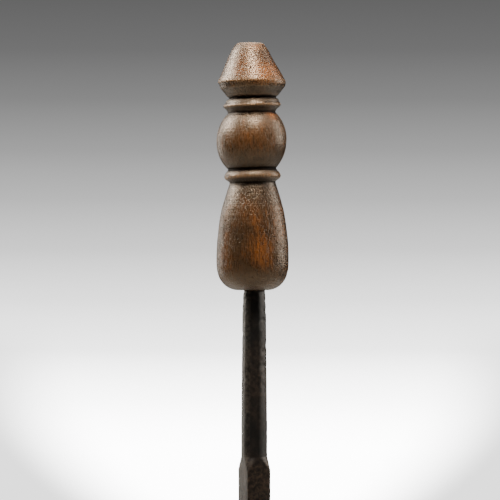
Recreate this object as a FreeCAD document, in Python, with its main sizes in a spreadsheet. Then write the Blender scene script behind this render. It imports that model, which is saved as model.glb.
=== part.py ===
"""Fireplace tool set: a stand with a moulded base, and four tools hung on it.

The stand is a square forged post with a turned wooden handle.  Four hook arms
are riveted to the post, and a poker, a shovel, a brush and tongs hang in them
by matching handles.  Millimetres, +Z up, origin on the floor under the post.
The post's faces look along X and Y.
"""
import FreeCAD, Part
import Sketcher
import math
import os
import re

Vector = FreeCAD.Vector
doc = FreeCAD.newDocument("fireplace_tool_set")
sheet = doc.addObject("Spreadsheet::Sheet", "Sizes")

# ---------------------------------------------------------------------------
# Driving dimensions
# ---------------------------------------------------------------------------
SIZES = {
    # Turned handle: radii and heights above its foot, from the foot up.
    "bore_radius": 3.1,
    "foot_radius": 8.6,
    "heel_radius": 13.9, "heel_height": 4.4,
    "belly_low_radius": 16.45, "belly_low_height": 11.0,
    "belly_radius": 16.55, "belly_height": 17.0,
    "grip_radius": 15.9, "grip_height": 27.0,
    "waist_radius": 13.9, "waist_height": 39.0,
    "neck_radius": 10.2, "neck_height": 49.8,
    "lower_ring_radius": 12.8, "lower_ring_height": 52.8,
    "ball_foot_radius": 10.9, "ball_foot_height": 55.2,
    "ball_radius": 16.2, "ball_height": 69.0,
    "ball_top_radius": 11.2, "ball_top_height": 82.8,
    "upper_ring_radius": 13.1, "upper_ring_height": 85.6,
    "throat_radius": 11.6, "throat_low_height": 88.0, "throat_height": 89.2,
    "rim_radius": 15.5, "rim_low_height": 94.4, "rim_height": 96.4,
    "cone_radius": 11.3, "cone_height": 105.8,
    "crown_radius": 5.9, "crown_height": 114.5,
    "handle_length": 115.0, "crown_flat_radius": 5.3,
    "peen_pocket_radius": 4.3, "peen_pocket_depth": 4.5,
    # Tang, and the washer that its end is peened over.
    "tang_radius": 3.0,
    "peen_washer_radius": 4.1, "peen_washer_thickness": 1.0,
    "peen_radius": 3.8, "peen_height": 2.0,
    # Stand.
    "post_handle_height": 565.0,
    "post_side": 11.1,
    "post_seat_height": 46.0,
    "tenon_radius": 4.0, "tenon_end_height": 14.5,
    "base_radius": 118.0, "base_underside": 12.0, "base_rim_height": 19.0,
    "bead_radius": 113.0, "bead_height": 23.0,
    "cove_radius": 108.0, "cove_height": 26.5,
    "field_radius": 40.0, "field_height": 31.0,
    "boss_foot_radius": 27.0, "boss_foot_height": 35.5,
    "boss_radius": 20.0, "boss_side_height": 43.0,
    "tenon_hole_radius": 4.2,
    "nut_pocket_radius": 17.0, "nut_pocket_height": 26.0,
    "base_washer_radius": 10.0, "base_washer_thickness": 2.0,
    "nut_radius": 9.2, "nut_thickness": 6.0,
    "foot_circle_radius": 94.0, "bun_radius": 13.0, "bun_flat_radius": 9.0,
    "stud_radius": 3.0, "stud_length": 6.0, "stud_hole_radius": 3.1,
    # Hook arms: a foot on the post, a quarter bend, and an open fork.
    "hang_radius": 66.0,
    "fork_top": 335.0, "strap_thickness": 4.0, "strap_width": 10.6,
    "arm_foot_bottom": 272.0, "arm_bend_radius": 26.0,
    "arm_reach": 52.0,
    "fork_start": 47.0, "fork_end": 81.0, "fork_width": 27.0,
    "slot_radius": 5.75, "lip_start": 78.2, "lip_height": 3.0,
    "rack_rivet_radius": 2.0, "rack_rivet_head_radius": 3.9,
    "rack_rivet_head_height": 2.2,
    "rack_rivet_low": 279.0, "rack_rivet_step": 6.5,
    # Tools: everything is measured from the handle's foot.
    "seat_gap": 0.3,
    "shank_side": 8.6,
    "stop_top": 60.0, "stop_length": 6.0,
    "poker_point_length": 292.0, "poker_taper_length": 60.0,
    "poker_tip_side": 3.0,
    "poker_hook_radius": 17.0, "poker_hook_top": 232.0,
    "shovel_tongue_top": 160.0, "shovel_tongue_bottom": 206.0,
    "tongue_thickness": 4.0, "tongue_width": 13.0,
    "pan_top": 168.0, "pan_bottom": 292.0, "pan_width": 96.0,
    "pan_shoulder_width": 66.0, "pan_shoulder_drop": 22.0,
    "pan_depth": 20.0, "pan_lip_depth": 7.0, "sheet_thickness": 2.0,
    "shovel_rivet_radius": 2.0, "shovel_rivet_head_radius": 3.8,
    "shovel_rivet_head_height": 1.8,
    "shovel_rivet_top": 178.0, "shovel_rivet_step": 18.0,
    "stock_top": 176.0, "stock_bottom": 214.0, "stock_radius": 18.0,
    "stock_neck_radius": 8.5, "stock_waist_radius": 15.0,
    "stock_bore_radius": 3.6, "stock_bore_bottom": 206.0,
    "brush_tenon_radius": 3.5,
    "brush_pin_radius": 1.5, "brush_pin_drop": 186.0,
    "bristle_root_radius": 16.5, "bristle_tip_radius": 25.0,
    "bristle_bottom": 290.0,
    "pivot_drop": 106.0, "eye_radius": 8.0, "eye_gap": 0.15,
    "arm_thickness": 5.0, "arm_width": 8.6,
    "arm_bow": 27.0, "arm_waist_drop": 196.0, "arm_tip_drop": 278.0,
    "pivot_radius": 2.5, "pivot_hole_radius": 2.55,
    "pivot_head_radius": 4.6, "pivot_head_height": 2.0,
    "pivot_washer_radius": 6.5, "pivot_washer_thickness": 0.8,
    "grip_disc_radius": 13.0, "grip_disc_thickness": 3.5,
    "grip_gap": 0.35,
}

for row, (alias, amount) in enumerate(SIZES.items(), start=1):
    sheet.set("A%d" % row, alias)
    sheet.set("B%d" % row, str(amount))
    sheet.setAlias("B%d" % row, alias)
doc.recompute()

# Corner cut of a regular octagon, and of a square bar with softened edges,
# as parts of the bar's side.
OCTAGON_CUT = "0.2929"
SOFT_CUT = "0.06"

# Where each tool hangs: turns about the post, outward direction along X and Y.
HANGERS = {
    "right": (0.0, 1, 0),
    "back": (90.0, 0, 1),
    "left": (180.0, -1, 0),
    "front": (270.0, 0, -1),
}


# ---------------------------------------------------------------------------
# Helpers
# ---------------------------------------------------------------------------
def linked(text):
    """Put the sheet's name before each size in an expression."""
    return re.sub(r"[a-z][a-z_]+", lambda found: "Sizes." + found.group(0), str(text))


def number(text):
    """Work out an expression of sizes."""
    return float(sheet.evalExpression(linked(text)))


def new_body(label):
    """Start a part-design body with its own label."""
    body = doc.addObject("PartDesign::Body", label)
    body.Label = label
    return body


def origin_plane(body, role):
    """Find one of a body's own origin planes."""
    return next(item for item in body.Origin.OriginFeatures if item.Role == role)


def new_sketch(body, name, role, lift="0"):
    """Add a sketch on an origin plane, lifted along the plane's normal."""
    sketch = body.newObject("Sketcher::SketchObject", name)
    sketch.AttachmentSupport = [(origin_plane(body, role), "")]
    sketch.MapMode = "FlatFace"
    sketch.setExpression("AttachmentOffset.Base.z", linked(lift))
    return sketch


def bind(sketch, geometry, point, across, up):
    """Tie a point of the sketch to a pair of expressions."""
    for kind, text in (("DistanceX", across), ("DistanceY", up)):
        constraint = Sketcher.Constraint(kind, -1, 1, geometry, point, number(text))
        index = sketch.addConstraint(constraint)
        sketch.setExpression("Constraints[%d]" % index, linked(text))


def arc_through(start, middle, end):
    """Make an anticlockwise arc through three points."""
    side_a = middle - start
    side_b = end - middle
    normal = Vector(0, 0, 1)
    middle_a = (start + middle) * 0.5
    middle_b = (middle + end) * 0.5
    across_a = normal.cross(side_a)
    step = (middle_b - middle_a).dot(side_b) / across_a.dot(side_b)
    centre = middle_a + across_a * step
    radius = centre.distanceToPoint(start)
    first_angle = math.atan2(start.y - centre.y, start.x - centre.x)
    last_angle = math.atan2(end.y - centre.y, end.x - centre.x)
    if last_angle < first_angle:
        last_angle += 2 * math.pi
    return Part.ArcOfCircle(Part.Circle(centre, normal, radius), first_angle, last_angle)


def draw_outline(sketch, corners):
    """Draw a closed outline.

    A corner is (across, up), or (across, up, via across, via up) where an arc
    through the via point leads on to the next corner.
    """
    first = sketch.GeometryCount
    ends = []
    for index, corner in enumerate(corners):
        following = corners[(index + 1) % len(corners)]
        start = Vector(number(corner[0]), number(corner[1]), 0)
        end = Vector(number(following[0]), number(following[1]), 0)
        if len(corner) == 4:
            middle = Vector(number(corner[2]), number(corner[3]), 0)
            forward = (middle - start).cross(end - middle).z > 0
            edge = arc_through(start, middle, end) if forward else arc_through(end, middle, start)
        else:
            forward = True
            edge = Part.LineSegment(start, end)
        sketch.addGeometry(edge, False)
        ends.append((1, 2) if forward else (2, 1))
    joints = []
    for index in range(len(corners)):
        following = (index + 1) % len(corners)
        joints.append(Sketcher.Constraint("Coincident", first + index, ends[index][1],
                                          first + following, ends[following][0]))
    places = []
    for index, corner in enumerate(corners):
        for kind, text in (("DistanceX", corner[0]), ("DistanceY", corner[1])):
            joints.append(Sketcher.Constraint(kind, -1, 1, first + index, ends[index][0],
                                              number(text)))
            places.append(text)
    before = sketch.ConstraintCount
    sketch.addConstraint(joints)
    for order, text in enumerate(places):
        sketch.setExpression("Constraints[%d]" % (before + len(corners) + order), linked(text))


def draw_circle(sketch, across, up, radius):
    """Draw a circle with a bound centre and radius."""
    centre = Vector(number(across), number(up), 0)
    circle = Part.Circle(centre, Vector(0, 0, 1), number(radius))
    geometry = sketch.addGeometry(circle, False)
    bind(sketch, geometry, 3, across, up)
    index = sketch.addConstraint(Sketcher.Constraint("Radius", geometry, number(radius)))
    sketch.setExpression("Constraints[%d]" % index, linked(radius))


def revolve(body, sketch, name):
    """Turn a sketch about the upright axis."""
    feature = body.newObject("PartDesign::Revolution", name)
    feature.Profile = sketch
    feature.ReferenceAxis = (sketch, ["V_Axis"])
    feature.Angle = 360.0
    return feature


def pad(body, sketch, name, length, symmetric=False, reverse=False):
    """Give a sketch a thickness."""
    feature = body.newObject("PartDesign::Pad", name)
    feature.Profile = sketch
    feature.setExpression("Length", linked(length))
    feature.SideType = "Symmetric" if symmetric else "One side"
    feature.Reversed = reverse
    return feature


def pocket(body, sketch, name, length):
    """Cut a sketch equally to both sides, and make sure that it cuts."""
    doc.recompute()
    before = body.Shape.Volume
    feature = body.newObject("PartDesign::Pocket", name)
    feature.Profile = sketch
    feature.setExpression("Length", linked(length))
    feature.SideType = "Symmetric"
    doc.recompute()
    if body.Shape.Volume >= before - 1e-6:
        raise RuntimeError("%s cuts nothing from %s" % (name, body.Label))
    return feature


def loft(body, sections, name):
    """Join sections with straight flanks."""
    feature = body.newObject("PartDesign::AdditiveLoft", name)
    feature.Profile = sections[0]
    feature.Sections = sections[1:]
    feature.Ruled = True
    return feature


def bar_section(body, name, side, cut, height, offset="0"):
    """Sketch a square with cut corners, at a height."""
    sketch = new_sketch(body, name, "XY_Plane", height)
    half = "(%s) / 2" % side
    inner = "(%s) / 2 - (%s) * (%s)" % (side, side, cut)
    corners = []
    for across, up in (
        (half, inner), (inner, half), ("-(%s)" % inner, half), ("-(%s)" % half, inner),
        ("-(%s)" % half, "-(%s)" % inner), ("-(%s)" % inner, "-(%s)" % half),
        (inner, "-(%s)" % half), (half, "-(%s)" % inner),
    ):
        corners.append(("(%s) + (%s)" % (across, offset), up))
    draw_outline(sketch, corners)
    return sketch


def place(item, height, hanger=None, radius="hang_radius"):
    """Put a piece at a height, on the post's axis or out on a hanger."""
    turn, across, along = HANGERS[hanger] if hanger else (0.0, 0, 0)
    item.Placement = FreeCAD.Placement(Vector(0, 0, 0), FreeCAD.Rotation(Vector(0, 0, 1), turn))
    item.setExpression("Placement.Base.x", linked("%s * %d" % (radius, across)))
    item.setExpression("Placement.Base.y", linked("%s * %d" % (radius, along)))
    item.setExpression("Placement.Base.z", linked(height))


def washer(label, outer, inner, thickness, lift):
    """Cut a flat washer from two cylinders, lifted above its placement."""
    disc = doc.addObject("Part::Cylinder", label + "_disc")
    hole = doc.addObject("Part::Cylinder", label + "_hole")
    for item, radius in ((disc, outer), (hole, inner)):
        item.setExpression("Radius", linked(radius))
        item.setExpression("Height", linked(thickness))
        item.setExpression("Placement.Base.z", linked(lift))
    ring = doc.addObject("Part::Cut", label)
    ring.Label = label
    ring.Base = disc
    ring.Tool = hole
    return ring


def rivet(name, radius, head_radius, head_height, start, end):
    """Make a rivet along +Z from start to end, with a low cone head at each end."""
    shank = doc.addObject("Part::Cylinder", name + "_shank")
    shank.setExpression("Radius", linked(radius))
    shank.setExpression("Height", linked("(%s) - (%s)" % (end, start)))
    shank.setExpression("Placement.Base.z", linked(start))
    top = doc.addObject("Part::Cone", name + "_top")
    top.setExpression("Radius1", linked(head_radius))
    top.setExpression("Radius2", linked("(%s) * 0.5" % head_radius))
    top.setExpression("Height", linked(head_height))
    top.setExpression("Placement.Base.z", linked(end))
    bottom = doc.addObject("Part::Cone", name + "_bottom")
    bottom.setExpression("Radius1", linked("(%s) * 0.5" % head_radius))
    bottom.setExpression("Radius2", linked(head_radius))
    bottom.setExpression("Height", linked(head_height))
    bottom.setExpression("Placement.Base.z", linked("(%s) - (%s)" % (start, head_height)))
    whole = doc.addObject("Part::MultiFuse", name)
    whole.Shapes = [shank, top, bottom]
    return whole


# ---------------------------------------------------------------------------
# Pieces that every tool and the post share
# ---------------------------------------------------------------------------
def make_handle(label, height, hanger=None):
    """Turn a handle: vase grip, ring, ball, ring and cone, bored for the tang."""
    body = new_body(label)
    sketch = new_sketch(body, label + "_profile", "XZ_Plane")
    corners = [
        ("bore_radius", "0"),
        ("foot_radius", "0", "heel_radius", "heel_height"),
        ("belly_low_radius", "belly_low_height", "belly_radius", "belly_height"),
        ("grip_radius", "grip_height", "waist_radius", "waist_height"),
        ("neck_radius", "neck_height"),
        ("lower_ring_radius", "lower_ring_height"),
        ("ball_foot_radius", "ball_foot_height", "ball_radius", "ball_height"),
        ("ball_top_radius", "ball_top_height"),
        ("upper_ring_radius", "upper_ring_height"),
        ("throat_radius", "throat_low_height"),
        ("throat_radius", "throat_height"),
        ("rim_radius", "rim_low_height"),
        ("rim_radius", "rim_height", "cone_radius", "cone_height"),
        ("crown_radius", "crown_height"),
        ("crown_flat_radius", "handle_length"),
        ("peen_pocket_radius", "handle_length"),
        ("peen_pocket_radius", "handle_length - peen_pocket_depth"),
        ("bore_radius", "handle_length - peen_pocket_depth"),
    ]
    draw_outline(sketch, corners)
    revolve(body, sketch, label + "_turning")
    place(body, height, hanger)
    return body


def make_peen_washer(label, height, hanger=None):
    """Small washer in the pocket of a handle's crown."""
    ring = washer(label, "peen_washer_radius", "bore_radius", "peen_washer_thickness",
                  "handle_length - peen_pocket_depth")
    place(ring, height, hanger)
    return ring


def add_tang(body, label):
    """Round tang through the handle, with its end peened over the washer."""
    sketch = new_sketch(body, label + "_tang_profile", "XZ_Plane")
    shoulder = "handle_length - peen_pocket_depth + peen_washer_thickness"
    top = "%s + peen_height" % shoulder
    draw_outline(sketch, [
        ("0", "0"),
        ("tang_radius", "0"),
        ("tang_radius", shoulder),
        ("peen_radius", shoulder),
        ("peen_radius", "%s + peen_height * 0.45" % shoulder),
        ("peen_radius * 0.6", top),
        ("0", top),
    ])
    revolve(body, sketch, label + "_tang")


def add_stem(body, label, side, stop_top, stop_length, swell_top, swell_bottom):
    """Eight-sided stem under the handle, ending in stop chamfers.

    The stem is thinnest under the handle, swells once, and turns into a
    square bar at the stops.
    """
    stations = (
        ("0", "0.777"), ("4", "0.86"), ("8", "0.93"),
        (swell_top, "0.935"), (swell_bottom, "1"), (stop_top, "1"),
    )
    sections = []
    for index, (drop, share) in enumerate(stations):
        sections.append(bar_section(body, "%s_stem_%d" % (label, index),
                                    "(%s) * %s" % (side, share), OCTAGON_CUT, "-(%s)" % drop))
    sections.append(bar_section(body, "%s_stem_stop" % label, side, SOFT_CUT,
                                "-(%s) - (%s)" % (stop_top, stop_length)))
    loft(body, sections, label + "_stem")


def add_bar(body, label, side, start, end):
    """Plain square bar between two drops below the handle."""
    sections = [
        bar_section(body, label + "_bar_top", side, SOFT_CUT, "-(%s)" % start),
        bar_section(body, label + "_bar_end", side, SOFT_CUT, "-(%s)" % end),
    ]
    loft(body, sections, label + "_bar")


def start_shank(label, bar_end):
    """A tool's shank: tang, stem and square bar down to a drop."""
    body = new_body(label)
    add_tang(body, label)
    add_stem(body, label, "shank_side", "stop_top", "stop_length", "40", "46")
    add_bar(body, label, "shank_side", "stop_top + stop_length", bar_end)
    return body


TOOL_HEIGHT = "fork_top + seat_gap"


# ---------------------------------------------------------------------------
# Stand
# ---------------------------------------------------------------------------
def make_base():
    """Moulded round base with a boss, a nut pocket and four stud holes."""
    body = new_body("base_casting")
    sketch = new_sketch(body, "base_profile", "XZ_Plane")
    draw_outline(sketch, [
        ("tenon_hole_radius", "nut_pocket_height"),
        ("nut_pocket_radius", "nut_pocket_height"),
        ("nut_pocket_radius", "base_underside"),
        ("base_radius - 2", "base_underside"),
        ("base_radius", "base_underside + 2"),
        ("base_radius", "base_rim_height",
         "(base_radius * 0.7) + (bead_radius * 0.3)", "bead_height - 1.1"),
        ("bead_radius", "bead_height"),
        ("cove_radius + 2", "bead_height", "cove_radius + 0.6", "bead_height + 1.2"),
        ("cove_radius", "cove_height"),
        ("field_radius", "field_height",
         "(field_radius + boss_foot_radius) / 2", "field_height + 1.5"),
        ("boss_foot_radius", "boss_foot_height", "boss_radius + 1.5", "boss_foot_height + 3"),
        ("boss_radius", "boss_side_height",
         "boss_radius - 1.2", "post_seat_height - 0.9"),
        ("boss_radius - 4", "post_seat_height"),
        ("tenon_hole_radius", "post_seat_height"),
    ])
    revolve(body, sketch, "base_turning")
    holes = new_sketch(body, "base_stud_holes", "XY_Plane", "base_underside")
    reach = "foot_circle_radius * 0.70711"
    for across in (1, -1):
        for along in (1, -1):
            draw_circle(holes, "%s * %d" % (reach, across), "%s * %d" % (reach, along),
                        "stud_hole_radius")
    pocket(body, holes, "base_stud_pockets", "(stud_length + 1) * 2")
    return body


def make_foot(label, across, along):
    """Bun foot with a stud that screws into the base."""
    body = new_body(label)
    sketch = new_sketch(body, label + "_profile", "XZ_Plane")
    draw_outline(sketch, [
        ("0", "0"),
        ("bun_flat_radius", "0", "bun_radius", "base_underside * 0.5"),
        ("bun_flat_radius", "base_underside"),
        ("stud_radius", "base_underside"),
        ("stud_radius", "base_underside + stud_length"),
        ("0", "base_underside + stud_length"),
    ])
    revolve(body, sketch, label + "_turning")
    reach = "foot_circle_radius * 0.70711"
    body.setExpression("Placement.Base.x", linked("%s * %d" % (reach, across)))
    body.setExpression("Placement.Base.y", linked("%s * %d" % (reach, along)))
    return body


def make_post():
    """Forged post: tang, eight-sided stem, square bar, and a tenon in the base."""
    body = new_body("post")
    add_tang(body, "post")
    add_stem(body, "post", "post_side", "76", "7", "47", "54")
    add_bar(body, "post", "post_side", "83", "post_handle_height - post_seat_height")
    tenon = new_sketch(body, "post_tenon_circle", "XY_Plane",
                       "tenon_end_height - post_handle_height")
    draw_circle(tenon, "0", "0", "tenon_radius")
    pad(body, tenon, "post_tenon", "post_seat_height - tenon_end_height")
    for index, role in enumerate(("YZ_Plane", "XZ_Plane")):
        holes = new_sketch(body, "post_rivet_holes_%d" % index, role)
        for order in (0, 2):
            height = "rack_rivet_low + rack_rivet_step * %d - post_handle_height" % (order + index)
            draw_circle(holes, "0", height, "rack_rivet_radius")
        pocket(body, holes, "post_rivet_bores_%d" % index, "post_side * 3")
    place(body, "post_handle_height")
    return body


def make_base_nut():
    """Smith-made square nut on the tenon's thread."""
    prism = doc.addObject("Part::Prism", "base_nut_prism")
    prism.Polygon = 4
    prism.setExpression("Circumradius", linked("nut_radius"))
    prism.setExpression("Height", linked("nut_thickness"))
    hole = doc.addObject("Part::Cylinder", "base_nut_hole")
    hole.setExpression("Radius", linked("tenon_radius"))
    hole.setExpression("Height", linked("nut_thickness"))
    nut = doc.addObject("Part::Cut", "base_nut")
    nut.Label = "base_nut"
    nut.Base = prism
    nut.Tool = hole
    place(nut, "nut_pocket_height - base_washer_thickness - nut_thickness")
    return nut


def make_hook_arm(hanger):
    """Strap arm: foot on the post, quarter bend, and an open fork with lips."""
    body = new_body("hook_arm_" + hanger)
    face = "post_side / 2"
    bend = "arm_bend_radius"
    inner = "(arm_bend_radius - strap_thickness)"
    centre_across = "post_side / 2 + arm_bend_radius"
    centre_up = "fork_top - arm_bend_radius"
    diagonal = "0.70711"
    side = new_sketch(body, "arm_side_" + hanger, "XZ_Plane")
    draw_outline(side, [
        (face, "arm_foot_bottom"),
        ("%s + strap_thickness" % face, "arm_foot_bottom"),
        ("%s + strap_thickness" % face, centre_up,
         "%s - %s * %s" % (centre_across, inner, diagonal),
         "%s + %s * %s" % (centre_up, inner, diagonal)),
        (centre_across, "fork_top - strap_thickness"),
        ("arm_reach", "fork_top - strap_thickness"),
        ("arm_reach", "fork_top"),
        (centre_across, "fork_top",
         "%s - %s * %s" % (centre_across, bend, diagonal),
         "%s + %s * %s" % (centre_up, bend, diagonal)),
        (face, centre_up),
    ])
    pad(body, side, "arm_strap_" + hanger, "strap_width", symmetric=True)
    fork = new_sketch(body, "arm_fork_side_" + hanger, "XZ_Plane")
    draw_outline(fork, [
        ("fork_start", "fork_top - strap_thickness"),
        ("fork_end", "fork_top - strap_thickness"),
        ("fork_end", "fork_top + lip_height"),
        ("lip_start", "fork_top + lip_height"),
        ("lip_start", "fork_top"),
        ("fork_start", "fork_top"),
    ])
    pad(body, fork, "arm_fork_" + hanger, "fork_width", symmetric=True)
    slot = new_sketch(body, "arm_slot_outline_" + hanger, "XY_Plane", "fork_top")
    draw_outline(slot, [
        ("fork_end + 2", "slot_radius"),
        ("hang_radius", "slot_radius", "hang_radius - slot_radius", "0"),
        ("hang_radius", "-slot_radius"),
        ("fork_end + 2", "-slot_radius"),
    ])
    pocket(body, slot, "arm_slot_" + hanger, "strap_thickness * 4")
    # Rounded outer corners, where the fork is forged out of the strap.
    trim = new_sketch(body, "arm_shoulder_outline_" + hanger, "XY_Plane", "fork_top")
    for sign in ("1", "-1"):
        draw_outline(trim, [
            ("fork_start - 1", "(strap_width / 2) * %s" % sign,
             "fork_start + 3.2", "(strap_width / 2 + 3.6) * %s" % sign),
            ("fork_start + 9", "(fork_width / 2) * %s" % sign),
            ("fork_start + 9", "(fork_width / 2 + 3) * %s" % sign),
            ("fork_start - 1", "(fork_width / 2 + 3) * %s" % sign),
        ])
    pocket(body, trim, "arm_shoulders_" + hanger, "strap_thickness * 4")
    along_y = hanger in ("front", "back")
    holes = new_sketch(body, "arm_rivet_holes_" + hanger, "YZ_Plane")
    for order in (0, 2):
        height = "rack_rivet_low + rack_rivet_step * %d" % (order + int(along_y))
        draw_circle(holes, "0", height, "rack_rivet_radius")
    pocket(body, holes, "arm_rivet_bores_" + hanger, "post_side * 3")
    turn = HANGERS[hanger][0]
    body.Placement = FreeCAD.Placement(Vector(0, 0, 0), FreeCAD.Rotation(Vector(0, 0, 1), turn))
    return body


def make_rack_rivets():
    """Four rivets through the post, each holding two opposite arms."""
    reach = "post_side / 2 + strap_thickness"
    pieces = []
    for order in range(4):
        item = rivet("rack_rivet_%d" % order, "rack_rivet_radius", "rack_rivet_head_radius",
                     "rack_rivet_head_height", "-(%s)" % reach, reach)
        axis = Vector(0, 1, 0) if order % 2 == 0 else Vector(1, 0, 0)
        item.Placement = FreeCAD.Placement(Vector(0, 0, 0), FreeCAD.Rotation(axis, 90))
        item.setExpression("Placement.Base.z",
                           linked("rack_rivet_low + rack_rivet_step * %d" % order))
        pieces.append(item)
    group = doc.addObject("Part::Compound", "rack_rivets")
    group.Label = "rack_rivets"
    group.Links = pieces
    return group


# ---------------------------------------------------------------------------
# Poker
# ---------------------------------------------------------------------------
def make_poker_shank():
    """Square bar drawn down to a point, with a hooked spur on its outer side."""
    body = start_shank("poker_shank", "poker_point_length - poker_taper_length")
    sections = [
        bar_section(body, "poker_taper_top", "shank_side", SOFT_CUT,
                    "poker_taper_length - poker_point_length"),
        bar_section(body, "poker_taper_tip", "poker_tip_side", SOFT_CUT, "-poker_point_length"),
    ]
    loft(body, sections, "poker_point")
    # The spur springs from the bar's outer face, sweeps out and turns up.
    spur = new_sketch(body, "poker_spur_side", "XZ_Plane")
    root = "shank_side / 2 - 1"
    top = "-poker_hook_top"
    radius = "poker_hook_radius"
    draw_outline(spur, [
        (root, "%s - 16" % top, "%s + %s * 0.62" % (root, radius), "%s - 13.2" % top),
        ("%s + %s" % (root, radius), "%s + 9" % top),
        ("%s + %s - 2.6" % (root, radius), "%s + 9" % top,
         "%s + %s * 0.40" % (root, radius), "%s - 7.2" % top),
        (root, "%s - 8" % top),
    ])
    pad(body, spur, "poker_spur", "shank_side * 0.7", symmetric=True)
    place(body, TOOL_HEIGHT, "front")
    return body


# ---------------------------------------------------------------------------
# Shovel
# ---------------------------------------------------------------------------
def make_shovel_shank():
    """Square bar that ends in a flat tongue behind the pan."""
    body = start_shank("shovel_shank", "shovel_tongue_top")
    half = "shank_side / 2"
    tongue = new_sketch(body, "shovel_tongue_outline", "YZ_Plane", "%s - tongue_thickness" % half)
    draw_outline(tongue, [
        ("-shank_side / 2 * 0.94", "-shovel_tongue_top"),
        ("-tongue_width / 2", "-shovel_tongue_top - 12"),
        ("-tongue_width / 2", "-shovel_tongue_bottom + 5",
         "0", "-shovel_tongue_bottom"),
        ("tongue_width / 2", "-shovel_tongue_bottom + 5"),
        ("tongue_width / 2", "-shovel_tongue_top - 12"),
        ("shank_side / 2 * 0.94", "-shovel_tongue_top"),
    ])
    pad(body, tongue, "shovel_tongue", "tongue_thickness")
    # A short slope from the bar's inner face down to the tongue.
    slope = new_sketch(body, "shovel_slope_side", "XZ_Plane")
    draw_outline(slope, [
        ("-shank_side / 2", "-shovel_tongue_top"),
        ("shank_side / 2 - tongue_thickness", "-shovel_tongue_top - 9"),
        ("shank_side / 2 - tongue_thickness + 1", "-shovel_tongue_top"),
    ])
    pad(body, slope, "shovel_slope", "shank_side * 0.88", symmetric=True)
    holes = new_sketch(body, "shovel_tongue_holes", "YZ_Plane")
    for order in (0, 1):
        draw_circle(holes, "0", "-shovel_rivet_top - shovel_rivet_step * %d" % order,
                    "shovel_rivet_radius")
    pocket(body, holes, "shovel_tongue_bores", "shank_side * 4")
    place(body, TOOL_HEIGHT, "right")
    return body


def make_shovel_pan():
    """Sheet pan, open at its front and its lower edge."""
    body = new_body("shovel_pan")
    back = "shank_side / 2"
    outer = new_sketch(body, "pan_outline", "YZ_Plane", back)
    draw_outline(outer, [
        ("-pan_width / 2", "-pan_bottom"),
        ("pan_width / 2", "-pan_bottom"),
        ("pan_width / 2 - 3", "-pan_top - pan_shoulder_drop",
         "pan_width / 2 - 8", "-pan_top - pan_shoulder_drop * 0.32"),
        ("pan_shoulder_width / 2", "-pan_top"),
        ("-pan_shoulder_width / 2", "-pan_top",
         "-pan_width / 2 + 8", "-pan_top - pan_shoulder_drop * 0.32"),
        ("-pan_width / 2 + 3", "-pan_top - pan_shoulder_drop"),
    ])
    pad(body, outer, "pan_block", "pan_depth")
    doc.recompute()
    wall = "sheet_thickness"
    inner = new_sketch(body, "pan_inside_outline", "YZ_Plane",
                       "%s + sheet_thickness + pan_depth" % back)
    draw_outline(inner, [
        ("-pan_width / 2 + %s" % wall, "-pan_bottom - 5"),
        ("pan_width / 2 - %s" % wall, "-pan_bottom - 5"),
        ("pan_width / 2 - 3 - %s" % wall, "-pan_top - pan_shoulder_drop",
         "pan_width / 2 - 8 - %s * 0.75" % wall, "-pan_top - pan_shoulder_drop * 0.32 - %s * 0.7" % wall),
        ("pan_shoulder_width / 2 - 0.5", "-pan_top - %s" % wall),
        ("-pan_shoulder_width / 2 + 0.5", "-pan_top - %s" % wall,
         "-pan_width / 2 + 8 + %s * 0.75" % wall, "-pan_top - pan_shoulder_drop * 0.32 - %s * 0.7" % wall),
        ("-pan_width / 2 + 3 + %s" % wall, "-pan_top - pan_shoulder_drop"),
    ])
    pocket(body, inner, "pan_inside", "pan_depth * 2")
    # The walls fall away towards the mouth.
    rake = new_sketch(body, "pan_rake_side", "XZ_Plane")
    draw_outline(rake, [
        ("%s + pan_depth + 1" % back, "-pan_top - pan_shoulder_drop"),
        ("%s + pan_depth" % back, "-pan_top - pan_shoulder_drop",
         "%s + pan_depth * 0.86" % back, "-(pan_top * 0.5 + pan_bottom * 0.5)"),
        ("%s + pan_lip_depth" % back, "-pan_bottom - 1"),
        ("%s + pan_depth + 1" % back, "-pan_bottom - 1"),
    ])
    pocket(body, rake, "pan_rake", "pan_width * 2")
    holes = new_sketch(body, "pan_rivet_holes", "YZ_Plane", back)
    for order in (0, 1):
        draw_circle(holes, "0", "-shovel_rivet_top - shovel_rivet_step * %d" % order,
                    "shovel_rivet_radius")
    pocket(body, holes, "pan_rivet_bores", "sheet_thickness * 4")
    place(body, TOOL_HEIGHT, "right")
    return body


def make_shovel_rivets():
    """Two rivets through the tongue and the pan's back."""
    pieces = []
    for order in (0, 1):
        item = rivet("shovel_rivet_%d" % order, "shovel_rivet_radius", "shovel_rivet_head_radius",
                     "shovel_rivet_head_height", "shank_side / 2 - tongue_thickness",
                     "shank_side / 2 + sheet_thickness")
        item.Placement = FreeCAD.Placement(Vector(0, 0, 0), FreeCAD.Rotation(Vector(0, 1, 0), 90))
        item.setExpression("Placement.Base.z",
                           linked("-shovel_rivet_top - shovel_rivet_step * %d" % order))
        pieces.append(item)
    group = doc.addObject("Part::Compound", "shovel_rivets")
    group.Label = "shovel_rivets"
    group.Links = pieces
    place(group, TOOL_HEIGHT, "right")
    return group


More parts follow.
